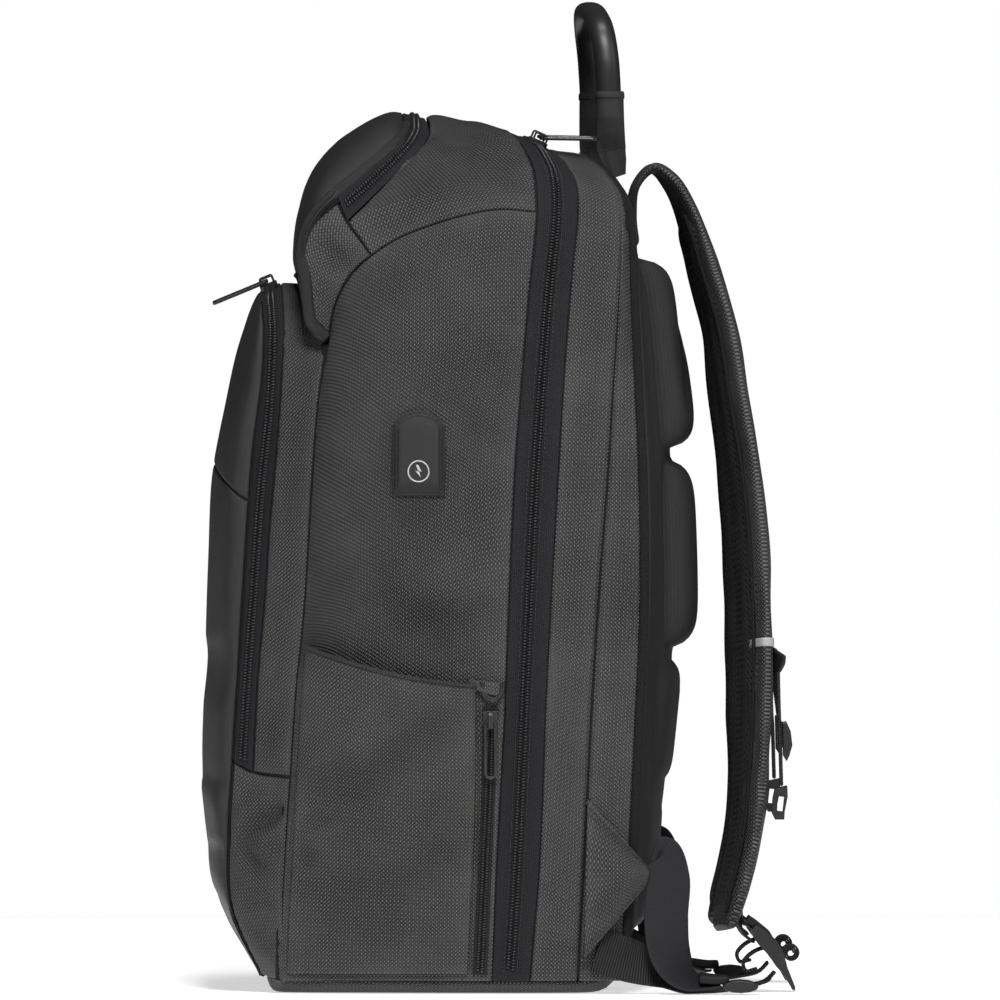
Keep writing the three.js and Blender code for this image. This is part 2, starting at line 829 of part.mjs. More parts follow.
// Padding on the back board

// The point of the back board's face at across and up.
function onBack(across, up) {
  let low = 0;
  let high = 1;
  for (let round = 0; round < 24; round++) {
    const middle = (low + high) / 2;
    if (backCentre(middle).z < up * bodyHeight) low = middle;
    else high = middle;
  }
  const s = (1 - (across * bodyWidth) / 2 / backEdgeSide(low).x) / 2;
  return crownedAt(backEdgeSide, backCentre, backPlan, arch(2), s, low);
}

// Moulded back padding in one piece: two columns of tall pads over a lumbar pad.
const padSide = 0.71;
const padFoot = 0.067;
const padHead = 0.836;
const padFace = (u, v) =>
  onBack(padSide * (2 * u - 1), padFoot + (padHead - padFoot) * v);
const padRim = 0.12; // share of backPadHeight at its edges and channels
// Height shares across half its width, from the middle channel to the edge
const columnHeights = [[0.12], [0.12], [0.8], [0.94], [1], [1], [0.95], [0.25]];
// Columns: height share of the pads, height share of the middle channel, from foot to head
const padRows = [
  [0.12, 0.12], [0.3, 0.3], [0.36, 0.36], [0.38, 0.38], [0.46, 0.46], [0.62, 0.6],
  [0.68, 0.6], [0.56, 0.4], [0.92, 0.12], [1, 0.12], [1, 0.12], [0.92, 0.12],
  [0.6, 0.12], [1.04, 0.12], [0.98, 0.12], [0.94, 0.12], [0.86, 0.12], [0.12, 0.12],
];
function padHeight(u, v) {
  const [outer, channel] = rowAt(padRows, v);
  const [column] = rowAt(columnHeights, Math.abs(2 * u - 1));
  return backPadHeight * Math.max(padRim, outer * column, channel * (column > 0.3 ? 1 : 0.9));
}
addMesh(
  "back_padding",
  pad(padFace, padHeight, (columnHeights.length - 1) * 2, padRows.length - 1, yAxis),
  "mesh",
);

// Carry handle: a moulded grip between two webbing sleeves

// Columns: across, back, up.
const gripRows = [
  [0.315, 0.918, 1.024],
  [0.318, 0.911, 1.058],
  [0.285, 0.902, 1.09],
  [0.17, 0.893, 1.108],
  [0, 0.889, 1.113],
];
const gripArch = [
  ...gripRows,
  ...gripRows
    .slice(0, -1)
    .reverse()
    .map(([across, ...rest]) => [-across, ...rest]),
];
addMesh(
  "handle_grip",
  band(gripArch, gripThickness, gripHeight, 22, { level: yAxis }),
  "rubber",
);
const sleeveRows = [
  [0.315, 0.919, 1.0215, 90, 1, 1],
  [0.315, 0.919, 0.992, 90, 1.02, 0.95],
  [0.315, 0.919, 0.955, 90, 1.05, 0.28],
  [0.312, 0.929, 0.9465, 90, 0.9, 0.28],
];
addPair("handle_sleeve", band(sleeveRows, gripThickness + 1.6, gripHeight + 2.4, 8), "webbing");

// Shoulder straps. Columns: across, back, up, turn, width share, thickness share
const strapRows = [
  [0.29, 0.9975, 0.846, 0, 0.86, 0.35],
  [0.29, 0.989, 0.88, 0, 0.88, 0.35],
  [0.29, 0.999, 0.915, 0, 0.9, 0.4],
  [0.295, 1.039, 0.934, 0, 0.92, 0.45],
  [0.3, 1.079, 0.917, -4, 0.95, 0.6],
  [0.31, 1.118, 0.88, -6, 1, 0.9],
  [0.33, 1.157, 0.818, -8, 1, 1],
  [0.37, 1.194, 0.751, -9, 1, 1],
  [0.41, 1.217, 0.672, -11, 1, 1],
  [0.45, 1.24, 0.593, -13, 1, 1],
  [0.48, 1.255, 0.514, -14, 1, 1],
  [0.505, 1.262, 0.446, -14, 1, 1],
  [0.525, 1.265, 0.378, -14, 1, 1],
  [0.54, 1.264, 0.31, -13, 1, 1],
  [0.555, 1.262, 0.243, -10, 0.97, 1],
  [0.575, 1.25, 0.175, -9, 0.9, 1],
  [0.595, 1.222, 0.113, -9, 0.8, 0.95],
  [0.61, 1.196, 0.07, -9, 0.6, 0.7],
];
const strapSteps = 28;

// Webbing sewn to the strap's lower end, which reaches the ladder lock
const strapEndRows = [
  [0.6, 1.2215, 0.128, -17],
  [0.602, 1.2235, 0.1, -17],
  [0.61, 1.238, 0.078, -8],
  [0.615, 1.2515, 0.0715, 0],
];
addPair(
  "shoulder_strap",
  fused(
    band(strapRows, padWidth, padThickness, strapSteps),
    band(strapEndRows, webWidth, webThickness * 2, 6, { bevel: 0 }),
  ),
  "coatedCloth",
);

const meshSteps = [9, 27]; // steps of the strap between which the mesh facing lies
addPair(
  "strap_mesh",
  band(strapRows, padWidth - 8, meshThickness, meshSteps[1] - meshSteps[0], {
    bevel: 0,
    offset: padThickness / 2 + meshThickness / 2 + seamGap,
    from: meshSteps[0] / strapSteps,
    to: meshSteps[1] / strapSteps,
  }),
  "mesh",
);

// Ladder lock: a curved plate with two slots. Columns of its side outline: back, up.
const lockOutline = [
  [1.262, 0.071], [1.271, 0.077], [1.289, 0.071], [1.319, 0.059], [1.336, 0.045],
  [1.345, 0.028], [1.363, 0.006], [1.362, 0.0025], [1.356, 0.003], [1.338, 0.019],
  [1.319, 0.029], [1.301, 0.042], [1.278, 0.054], [1.266, 0.062],
];
const lockWidth = webWidth + 7;
const lockAcross = 0.615;

// A solid with a side outline in shares back and up, width along X, centred at across.
function sideways(outline, width, across) {
  const shape = new THREE.Shape(
    outline.map(([back, up]) => {
      const p = place(0, back, up);
      return new THREE.Vector2(p.y, p.z);
    }),
  );
  const solid = new THREE.ExtrudeGeometry(shape, { depth: width, bevelEnabled: false });
  solid.applyMatrix4(new THREE.Matrix4().set(0, 0, 1, 0, 1, 0, 0, 0, 0, 1, 0, 0, 0, 0, 0, 1));
  solid.translate(place(across, 0, 0).x - width / 2, 0, 0);
  return solid;
}

function boxAt(size, centre, turn = 0) {
  const box = new THREE.BoxGeometry(...size);
  box.rotateX(THREE.MathUtils.degToRad(turn));
  box.translate(centre.x, centre.y, centre.z);
  return box;
}
const lockSlot = [webWidth + 1.6, 4.2, 40];
const lockSlotPlaces = [
  [lockAcross, 1.283, 0.064],
  [lockAcross, 1.328, 0.035],
];
addPair(
  "ladder_lock",
  cutFrom(
    sideways(lockOutline, lockWidth, lockAcross),
    ...lockSlotPlaces.map((spot, i) => boxAt(lockSlot, place(...spot), i ? 48 : 32)),
  ),
  "plastic",
);

// Ribbed webbing from under the wing, along the floor and up to the ladder lock
const lowWebRows = [
  [0.938, 0.9, 0.05, 90],
  [0.926, 0.965, 0.04, 82],
  [0.87, 1.05, 0.0265, 42],
  [0.8, 1.12, 0.0095, 10],
  [0.72, 1.2, 0.005, 0],
  [0.64, 1.262, 0.0085, 0],
  [0.616, 1.297, 0.014, 0],
  [0.615, 1.3165, 0.0234, 0],
];
addPair("low_web", band(lowWebRows, webWidth, webThickness, 18, { bevel: 0 }), "webbing");

// Wing over the side's lower rear corner. Columns: across, back, up.
const wingFrontRows = [
  [0.977, 0.868, 0.037],
  [0.986, 0.872, 0.13],
  [0.988, 0.877, 0.223],
];
const wingRearRows = [
  [0.985, 1.018, 0.126],
  [0.985, 1.023, 0.138],
  [0.985, 1.014, 0.147],
];
const wingWall = 2.6;
addPair(
  "wing",
  sheet(patch(seam(wingFrontRows), seam(wingRearRows)), 5, 4, wingWall, {}, 0),
  "coatedCloth",
);

// Smooth waist belt: hangs behind the wing's tip and turns along the floor
const waistRows = [
  [0.953, 1.06, 0.168, 90, 0.9],
  [0.957, 1.062, 0.13, 86, 1],
  [0.962, 1.06, 0.085, 84, 1],
  [0.972, 1.07, 0.045, 66, 1],
  [0.975, 1.1, 0.022, 40, 1],
  [0.97, 1.145, 0.0115, 10, 1],
  [0.965, 1.1855, 0.0098, 0, 1],
];
addPair("waist_belt", band(waistRows, webWidth, webThickness, 14, { bevel: 0 }), "webbing");

// Waist buckle lying on the floor, and its outline as an ellipse seen from the side
const buckleLength = 20;
const buckleHeight = 7;
const buckleSides = 12;
const buckleCentre = place(0, 1.232, 0.0095);
const buckleOutline = Array.from({ length: buckleSides }, (_, i) => {
  const angle = (2 * Math.PI * i) / buckleSides;
  return [
    (buckleCentre.y + (Math.cos(angle) * buckleLength) / 2) / bodyDepth + baseCentre,
    (buckleCentre.z + (Math.sin(angle) * buckleHeight) / 2) / bodyHeight,
  ];
});
addPair("waist_buckle", sideways(buckleOutline, webWidth + 9, 0.955), "plastic");

// Sternum strap: webbing on each shoulder strap, a glide and one half of the buckle
const sternumAcross = 0.65;
const sternumRows = [
  [sternumAcross, 1.3165, 0.372, -14],
  [sternumAcross, 1.3205, 0.34, -8],
  [sternumAcross, 1.3265, 0.3, 0],
  [sternumAcross, 1.331, 0.2338, 0],
];
addPair("sternum_web", band(sternumRows, narrowWebWidth, webThickness, 6, { bevel: 0 }), "webbing");
const glideOutline = [
  [1.333, 0.306], [1.342, 0.307], [1.352, 0.296], [1.356, 0.28],
  [1.349, 0.268], [1.343, 0.262], [1.335, 0.268],
];
addPair("sternum_glide", sideways(glideOutline, narrowWebWidth + 5, sternumAcross), "plastic");
const prongOutline = [
  [1.316, 0.231], [1.344, 0.234], [1.345, 0.222], [1.338, 0.205],
  [1.337, 0.196], [1.316, 0.196], [1.309, 0.203], [1.311, 0.22],
];
const prongGap = boxAt([narrowWebWidth - 3, 30, 9], place(sternumAcross, 1.327, 0.2135));
const prongThrough = boxAt([60, 4.5, 8.5], place(sternumAcross, 1.327, 0.2135), -6);
addPair(
  "sternum_buckle",
  cutFrom(sideways(prongOutline, narrowWebWidth + 7, sternumAcross), prongGap, prongThrough),
  "plastic",
);

// Zip sliders and their pullers

const sliderWidth = 8;
const sliderLength = 10;
const sliderBody = 2.6;
const bailWidth = 2.4;
const bailRoom = 3.4; // height under the bail
const bailWall = 1.1;
const pullerLength = 34;
const pullerWidth = 7.4;
const pullerWire = 1.8;
const pullerAxisHeight = seamGap + sliderBody + bailRoom / 2;

// A slider standing on the XY plane, its bail reaching along Y.
function sliderGeometry() {
  const half = sliderLength / 2;
  const plan = new THREE.Shape([
    new THREE.Vector2(-sliderWidth / 2, -half * 0.6),
    new THREE.Vector2(-sliderWidth / 4, -half),
    new THREE.Vector2(sliderWidth / 4, -half),
    new THREE.Vector2(sliderWidth / 2, -half * 0.6),
    new THREE.Vector2(sliderWidth / 2, half),
    new THREE.Vector2(-sliderWidth / 2, half),
  ]);
  const body = new THREE.ExtrudeGeometry(plan, { depth: sliderBody, bevelEnabled: false });
  body.translate(0, 0, seamGap);
  const foot = seamGap + sliderBody - 0.2;
  const head = seamGap + sliderBody + bailRoom + bailWall;
  const reach = half - 0.8;
  const bail = new THREE.Shape([
    new THREE.Vector2(-reach, foot),
    new THREE.Vector2(-reach, head - 1),
    new THREE.Vector2(-reach + 1, head),
    new THREE.Vector2(reach - 1, head),
    new THREE.Vector2(reach, head - 1),
    new THREE.Vector2(reach, foot),
    new THREE.Vector2(reach - bailWall, foot),
    new THREE.Vector2(reach - bailWall, head - bailWall),
    new THREE.Vector2(-reach + bailWall, head - bailWall),
    new THREE.Vector2(-reach + bailWall, foot),
  ]);
  const arch = new THREE.ExtrudeGeometry(bail, { depth: bailWidth, bevelEnabled: false });
  arch.applyMatrix4(new THREE.Matrix4().set(0, 0, 1, 0, 1, 0, 0, 0, 0, 1, 0, 0, 0, 0, 0, 1));
  arch.translate(-bailWidth / 2, 0, 0);
  return fused(body, arch);
}

// A puller: a long loop whose near end turns about the X axis. It points along -Y.
function pullerGeometry() {
  const steps = 4;
  const ends = (radius, length) => {
    const points = [];
    for (let i = 0; i <= steps; i++) {
      const angle = (Math.PI * i) / steps;
      points.push(new THREE.Vector2(radius * Math.cos(angle), radius * Math.sin(angle)));
    }
    for (let i = 0; i <= steps; i++) {
      const angle = Math.PI + (Math.PI * i) / steps;
      points.push(
        new THREE.Vector2(radius * Math.cos(angle), -length + radius * Math.sin(angle)),
      );
    }
    return points;
  };
  const outer = pullerWidth / 2;
  const inner = outer - pullerWire;
  const shape = new THREE.Shape(ends(outer, pullerLength - pullerWidth));
  shape.holes.push(new THREE.Path(ends(inner, pullerLength - pullerWidth)));
  const loop = new THREE.ExtrudeGeometry(shape, { depth: pullerWire, bevelEnabled: false });
  loop.translate(0, -outer + pullerWire / 2, -pullerWire / 2);
  return loop;
}

const slider = sliderGeometry();
const puller = pullerGeometry();

// A frame on a surface: its Z stands out of the surface, and the puller lies along its -Y.
function frameOn(surface, u, v, pull) {
  const step = 1e-3;
  const origin = surface(u, v);
  const du = surface(u + step, v).sub(surface(u - step, v));
  const dv = surface(u, v + step).sub(surface(u, v - step));
  const normal = du.cross(dv).normalize();
  if (normal.dot(origin.clone().sub(heart)) < 0) normal.negate();
  const y = pull.clone().addScaledVector(normal, -pull.dot(normal)).normalize().negate();
  const x = y.clone().cross(normal);
  const frame = new THREE.Group();
  frame.applyMatrix4(new THREE.Matrix4().makeBasis(x, y, normal).setPosition(origin));
  return frame;
}

// One slider with its puller, lifted from its lying place by the angle lift.
function addZipEnd(name, frame, lift) {
  pack.add(frame);
  addMesh(name + "_slider", slider.clone(), "metal", frame);
  const hinge = new THREE.Group();
  hinge.position.z = pullerAxisHeight;
  hinge.rotation.x = -THREE.MathUtils.degToRad(lift);
  frame.add(hinge);
  addMesh(name + "_puller", puller.clone(), "metal", hinge);
}

const forwards = new THREE.Vector3(0, -1, 0);
const downwards = new THREE.Vector3(0, 0, -1);
const pocketZip = patch(pocketZipFront, pocketZipRear);
const mainZip = patch(mainZipFront, mainZipRear);
addZipEnd("pocket_zip_near", frameOn(pocketZip, 0.5, 0.45, forwards), 0);
addZipEnd("pocket_zip_far", frameOn(pocketZip, 0.5, 0.463, forwards), 0);
addZipEnd("main_zip_near", frameOn(mainZip, 0.5, 0.44, yAxis), 22);
addZipEnd("main_zip_far", frameOn(mainZip, 0.5, 0.45, yAxis), 22);
addZipEnd("side_zip_right", frameOn(sideZip, 0.5, 0.95, downwards), 0);

export default pack;
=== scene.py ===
"""A laptop backpack, standing on its base: cloth panels, zips, padding, webbing and trim round the
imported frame. Metres, +Z up, -Y the pack's front, +Y the wearer's side, +X the wearer's right."""

import math

import bpy
import numpy as np
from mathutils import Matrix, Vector


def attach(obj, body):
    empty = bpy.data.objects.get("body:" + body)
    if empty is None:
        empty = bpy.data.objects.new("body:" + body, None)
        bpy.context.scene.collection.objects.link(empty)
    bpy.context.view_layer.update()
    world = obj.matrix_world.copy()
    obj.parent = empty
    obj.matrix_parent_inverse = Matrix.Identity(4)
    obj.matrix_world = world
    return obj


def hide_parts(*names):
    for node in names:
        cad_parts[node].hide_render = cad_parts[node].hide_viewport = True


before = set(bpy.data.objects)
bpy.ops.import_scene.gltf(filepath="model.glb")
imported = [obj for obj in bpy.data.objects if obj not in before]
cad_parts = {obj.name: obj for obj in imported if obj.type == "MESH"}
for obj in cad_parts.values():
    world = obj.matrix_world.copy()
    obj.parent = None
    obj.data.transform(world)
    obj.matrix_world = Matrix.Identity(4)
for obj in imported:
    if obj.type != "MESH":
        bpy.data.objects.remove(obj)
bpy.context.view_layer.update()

# --- The view ------------------------------------------------------------------------------------
# The photograph looks level at the pack's right side, a little from its front, through a long
# lens: the picture takes in 560 mm at the side panel.
picture_span = 0.56
view_azimuth, view_elevation = math.radians(89.5), math.radians(0.5)
view_distance = 14.0
aim = Vector((0.15, 0.045, 0.277))
towards_eye = Vector(
    (
        math.sin(view_azimuth) * math.cos(view_elevation),
        -math.cos(view_azimuth) * math.cos(view_elevation),
        math.sin(view_elevation),
    )
)
lens = bpy.data.cameras.new("view")
lens.sensor_width = 36
lens.lens = lens.sensor_width * view_distance / picture_span
lens.clip_start, lens.clip_end = 0.1, 100
camera = bpy.data.objects.new("view", lens)
bpy.context.scene.collection.objects.link(camera)
camera.location = aim + towards_eye * view_distance
camera.rotation_euler = towards_eye.to_track_quat("Z", "Y").to_euler()
bpy.context.scene.camera = camera

# --- The studio ----------------------------------------------------------------------------------
# A white floor before a white wall, as the camera sees them. A soft light stands high at the
# pack's right side, a weak one behind its right and a third above, with a little even fill.
bpy.context.scene.view_settings.view_transform = "Standard"
sky = bpy.data.worlds.new("sky")
sky.use_nodes = True
wall_share, fill_share = 1.0, 0.045
seen = sky.node_tree.nodes.new("ShaderNodeLightPath")
strength = sky.node_tree.nodes.new("ShaderNodeMapRange")
strength.inputs["To Min"].default_value = fill_share
strength.inputs["To Max"].default_value = wall_share
sky.node_tree.links.new(seen.outputs["Is Camera Ray"], strength.inputs["Value"])
sky.node_tree.nodes["Background"].inputs["Color"].default_value = (1, 1, 1, 1)
sky.node_tree.links.new(strength.outputs["Result"], sky.node_tree.nodes["Background"].inputs["Strength"])
bpy.context.scene.world = sky

floor_mesh = bpy.data.meshes.new("studio_floor")
floor_reach = 1.6
corner_signs = ((-1, -1), (1, -1), (1, 1), (-1, 1))
floor_corners = [(sx * floor_reach, sy * floor_reach, 0) for sx, sy in corner_signs]
floor_mesh.from_pydata(floor_corners, [], [(0, 1, 2, 3)])
studio_floor = bpy.data.objects.new("studio_floor", floor_mesh)
bpy.context.scene.collection.objects.link(studio_floor)
floor_paint = bpy.data.materials.new("floor_paint")
floor_paint.use_nodes = True
floor_glow = 0.6
floor_shader = floor_paint.node_tree.nodes["Principled BSDF"]
floor_shader.inputs["Base Color"].default_value = (0.93, 0.93, 0.93, 1)
floor_shader.inputs["Roughness"].default_value = 0.9
floor_shader.inputs["Emission Color"].default_value = (1, 1, 1, 1)
floor_shader.inputs["Emission Strength"].default_value = floor_glow
floor_mesh.materials.append(floor_paint)


def soft_light(name, place, size, watts):
    """A square light of the given size that faces the middle of the pack."""
    glow = bpy.data.lights.new(name, "AREA")
    glow.size, glow.energy = size, watts
    lamp = bpy.data.objects.new(name, glow)
    bpy.context.scene.collection.objects.link(lamp)
    lamp.location = place
    lamp.rotation_euler = (Vector(place) - Vector((0, 0, 0.28))).to_track_quat("Z", "Y").to_euler()


soft_light("key_light", (1.9, 0.1, 1.75), 0.5, 60)
soft_light("strap_light", (1.6, 1.9, 1.3), 0.5, 9)
soft_light("top_light", (0.7, 0.1, 2.6), 0.7, 34)

# --- The base ------------------------------------------------------------------------------------
# The base is one panel of coarse coated polyester, flat where it stands and turned up to meet
# the sides. The pack's body is 320 mm wide, 242 mm deep and 496 mm high.
body_width, body_depth, body_height = 0.320, 0.242, 0.496
base_centre = 0.49
shell_wall = 0.0014


def place(rows):
    """Points in metres from rows of across (of half the width), back (of the depth) and up (of
    the height)."""
    rows = np.asarray(rows, float)[..., :3]
    return (rows - [0, base_centre, 0]) * [body_width / 2, body_depth, body_height]


heart = place([0, 0.55, 0.5])


def curve(rows):
    """A smooth line through the rows as a function of t from 0 to 1. Between two rows it is the
    cubic whose end slopes come from the neighbouring rows, weighted by the root of their
    distances."""
    p = place(rows)
    p = np.vstack([2 * p[0] - p[1], p, 2 * p[-1] - p[-2]])
    k = np.sqrt(np.linalg.norm(np.diff(p, axis=0), axis=1))[:, None]
    before, start, end, after = p[:-3], p[1:-2], p[2:-1], p[3:]
    k0, k1, k2 = k[:-2], k[1:-1], k[2:]
    leave = ((start - before) / k0 - (end - before) / (k0 + k1) + (end - start) / k1) * k1
    arrive = ((end - start) / k1 - (after - start) / (k1 + k2) + (after - end) / k2) * k1

    def at(t):
        t = np.clip(np.asarray(t, float), 0, 1) * len(start)
        i = np.minimum(t.astype(int), len(start) - 1)
        w = (t - i)[..., None]
        bend = -3 * start[i] + 3 * end[i] - 2 * leave[i] - arrive[i]
        close = 2 * start[i] - 2 * end[i] + leave[i] + arrive[i]
        return start[i] + w * (leave[i] + w * (bend + w * close))

    return at


def part(line, start, end):
    """The stretch of a line between two shares of it."""
    return lambda t: line(start + (end - start) * np.asarray(t, float))


def joined(first, second, share):
    """One line followed by another, which takes over at share."""

    def at(t):
        t = np.asarray(t, float)
        return np.where((t < share)[..., None], first(t / share), second((t - share) / (1 - share)))

    return at


flipped = np.array([-1.0, 1.0, 1.0])


def over_the_top(half):
    """A line that climbs the right side as half does and comes down the left side."""

    def at(t):
        t = np.asarray(t, float)
        right = half(np.minimum(2 * t, 2 - 2 * t))
        return np.where((t <= 0.5)[..., None], right, right * flipped)

    return at


def mirrored(surface):
    """The same surface on the pack's other side."""
    return lambda u, v: surface(u, v) * flipped


def from_centre(s):
    """Distance from the middle of a section, from 0 there to 1 at its edges."""
    return np.minimum(1, np.abs(2 * s - 1))


def boxy(power):
    """A rounded box section: the power-th root of 1 less the power of the distance from the
    centre."""
    return lambda s, v=0: (1 - from_centre(s) ** power) ** (1 / power)


def arch(power):
    """An arched section: 1 less the power of the distance from the centre."""
    return lambda s, v=0: 1 - from_centre(s) ** power


def crown_step(u):
    """Even angles round a half circle, as shares of its width."""
    return 0.5 - 0.5 * np.cos(np.pi * u)


def crowned(edge, centre, plan, rise=arch(2), spacing=crown_step):
    """A panel whose section at each v runs from the right edge over the centre to the left edge:
    plan is its rise in depth and rise its rise in height."""

    def at(u, v):
        s = spacing(u)
        e, c = edge(v), centre(v)
        return np.stack(
            [
                e[..., 0] * (1 - 2 * s),
                e[..., 1] + (c[..., 1] - e[..., 1]) * plan(s, v),
                e[..., 2] + (c[..., 2] - e[..., 2]) * rise(s, v),
            ],
            -1,
        )

    return at


def tilt(surface, u, v):
    """Unit normals of a surface, out of the pack: the cross product of its two slopes."""
    step = 2e-3
    ahead, behind = np.minimum(u + step, np.maximum(u, 1)), np.maximum(u - step, np.minimum(u, 0))
    across = surface(ahead, v) - surface(behind, v)
    along = surface(u, np.minimum(v + step, 1)) - surface(u, np.maximum(v - step, 0))
    normal = np.cross(across, along)
    normal /= np.maximum(np.linalg.norm(normal, axis=-1, keepdims=True), 1e-12)
    outwards = np.sum(normal * (surface(u, v) - heart))
    return normal * (1 if outwards > 0 else -1)


def waves(places, length, seed, count=14):
    """Gentle unevenness: the mean of plane waves about length long in seeded directions."""
    draw = np.random.default_rng(seed)
    ways = draw.normal(size=(count, np.shape(places)[-1]))
    ways *= 2 * np.pi / (np.linalg.norm(ways, axis=1, keepdims=True) * length)
    ways *= draw.uniform(0.7, 1.4, (count, 1))
    return np.sin(places @ ways.T + draw.uniform(0, 2 * np.pi, count)).sum(-1) / np.sqrt(count)


def piece(name, points, faces, cloth, slot, uv=None, nodes=(), body="pack", wall=0, facts={}):
    """A finished mesh object: it takes the points and faces, a UV map in metres and any facts
    by point, and rides on its body."""
    mesh = bpy.data.meshes.new(name)
    mesh.from_pydata(points.reshape(-1, 3), [], faces)
    mesh.polygons.foreach_set("use_smooth", np.ones(len(mesh.polygons), bool))
    if uv is not None:
        uv = uv.reshape(-1, 2)
        corners = uv if len(uv) == len(mesh.loops) else uv[np.asarray(faces).ravel()]
        mesh.uv_layers.new(name="threads").data.foreach_set("uv", corners.ravel())
    for fact, values in facts.items():
        mesh.attributes.new(fact, "FLOAT", "POINT").data.foreach_set("value", values.ravel())
    mesh.materials.append(cloth)
    made = bpy.data.objects.new(name, mesh)
    bpy.context.scene.collection.objects.link(made)
    if wall:
        lining = made.modifiers.new("lining", "SOLIDIFY")
        lining.thickness, lining.offset = wall, -1
    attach(made, body)
    if nodes:
        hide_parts(*nodes)
    return made


def spaced(length, step, turn):
    """Shares of a length: four close steps within turn of each end, and even steps between."""
    close = turn * np.array([0, 0.1, 0.3, 0.6, 1]) / length
    middle = np.linspace(close[-1], 1 - close[-1], max(3, int((1 - 2 * close[-1]) * length / step) + 1))
    return np.concatenate([close[:-1], middle, 1 - close[-2::-1]])


def grid_faces(rows, columns):
    """Four-cornered faces of a grid of points, row after row."""
    at = np.arange(rows * columns).reshape(rows, columns)
    return np.stack([at[:-1, :-1], at[:-1, 1:], at[1:, 1:], at[1:, :-1]], -1).reshape(-1, 4)


def panel(
    name,
    surface,
    cloth,
    slot,
    nodes=(),
    step=0.0031,
    turn=0.0022,
    gather=(0.00022, 0.009, 0.006),
    relief=None,
    wall=shell_wall,
    gaps=(0.0003, 0.0003, 0.0003, 0.0003),
):
    """A sewn panel: the surface's points, moved along their normals by the relief, which fades
    towards the seams, and by the gathers, which are waves along a seam that fade with the
    distance from it, and turned down by a quarter circle at its edges."""
    many = np.linspace(0, 1, 65)
    half = np.full(65, 0.5)
    wide = np.linalg.norm(np.diff(surface(many, half), axis=0), axis=1).sum()
    long = np.linalg.norm(np.diff(surface(half, many), axis=0), axis=1).sum()
    us = gaps[0] / wide + spaced(wide, step, turn) * (1 - (gaps[0] + gaps[1]) / wide)
    vs = gaps[2] / long + spaced(long, step, turn) * (1 - (gaps[2] + gaps[3]) / long)
    u, v = np.meshgrid(us, vs)
    points = surface(u, v)
    across = np.cumsum(np.pad(np.linalg.norm(np.diff(points, axis=1), axis=-1), ((0, 0), (1, 0))), axis=1)
    along = np.cumsum(np.pad(np.linalg.norm(np.diff(points, axis=0), axis=-1), ((1, 0), (0, 0))), axis=0)
    from_side = np.minimum(across, across[:, -1:] - across)
    from_end = np.minimum(along, along[-1:] - along)
    from_edge = np.minimum(from_side, from_end)
    run = np.broadcast_to(along[:, [along.shape[1] // 2]], along.shape)
    thread = np.stack([across - across[:, -1:] / 2, run], -1)
    normal = tilt(surface, u, v)
    depth, pitch, reach = gather
    sway = waves(thread[..., 1:], pitch, 3) * np.exp(-from_side / reach)
    sway = sway + waves(thread[..., :1], pitch, 4) * np.exp(-from_end / reach)
    held = 1 - 0.85 * np.exp(-((from_edge / 0.0045) ** 2))
    lift = depth * sway + (relief(points, u, v) * held if relief else 0)
    dip = 1 - np.clip(from_edge / turn, 0, 1)
    lift = lift - turn * 0.75 * (1 - np.sqrt(np.maximum(0, 1 - dip**2)))
    corners = grid_faces(*u.shape)
    mid = tuple(n // 2 for n in u.shape)
    flow = np.cross(
        points[mid[0], mid[1] + 1] - points[mid], points[mid[0] + 1, mid[1]] - points[mid]
    )
    if np.dot(flow, normal[mid]) < 0:
        corners = corners[:, ::-1]
    points = points + normal * lift[..., None]
    return piece(
        name, points, corners, cloth, slot, thread, nodes, wall=wall,
        facts={"seam": np.exp(-from_edge / 0.006)},
    )


def step_node(tree, operation, first, second=None, third=None):
    """A Math node on numbers or sockets, giving its result's socket."""
    node = tree.nodes.new("ShaderNodeMath")
    node.operation = operation
    for socket, value in zip(node.inputs, (first, second, third)):
        if value is None:
            continue
        if isinstance(value, (int, float)):
            socket.default_value = value
        else:
            tree.links.new(value, socket)
    return node.outputs[0]


def tint_node(tree, share, dark, light):
    """A colour between two, by share."""
    node = tree.nodes.new("ShaderNodeMix")
    node.data_type = "RGBA"
    tree.links.new(share, node.inputs[0])
    for socket, value in zip(node.inputs[6:8], (dark, light)):
        if isinstance(value, tuple):
            socket.default_value = (*value, 1)
        else:
            tree.links.new(value, socket)
    return node.outputs[2]


def unevenness_node(tree, scale, detail=3):
    """Noise on the object's own coordinates, about 0.5 in the mean."""
    here = tree.nodes.new("ShaderNodeTexCoord")
    noise = tree.nodes.new("ShaderNodeTexNoise")
    noise.inputs["Scale"].default_value = scale
    noise.inputs["Detail"].default_value = detail
    tree.links.new(here.outputs["Object"], noise.inputs["Vector"])
    return noise.outputs["Fac"]


def bare_material(name, roughness, metallic=0.0, specular=0.5, coat=0.0):
    """A material with its shader's even values set, and its tree to build on."""
    made = bpy.data.materials.new(name)
    made.use_nodes = True
    shader = made.node_tree.nodes["Principled BSDF"]
    shader.inputs["Roughness"].default_value = roughness
    shader.inputs["Metallic"].default_value = metallic
    shader.inputs["Specular IOR Level"].default_value = specular
    shader.inputs["Coat Weight"].default_value = coat
    return made, made.node_tree, shader


def bumped(tree, shader, height, distance, strength=1.0):
    """The shader's normal from a height between 0 and 1."""
    bump = tree.nodes.new("ShaderNodeBump")
    bump.inputs["Distance"].default_value = distance
    bump.inputs["Strength"].default_value = strength
    tree.links.new(height, bump.inputs["Height"])
    tree.links.new(bump.outputs["Normal"], shader.inputs["Normal"])


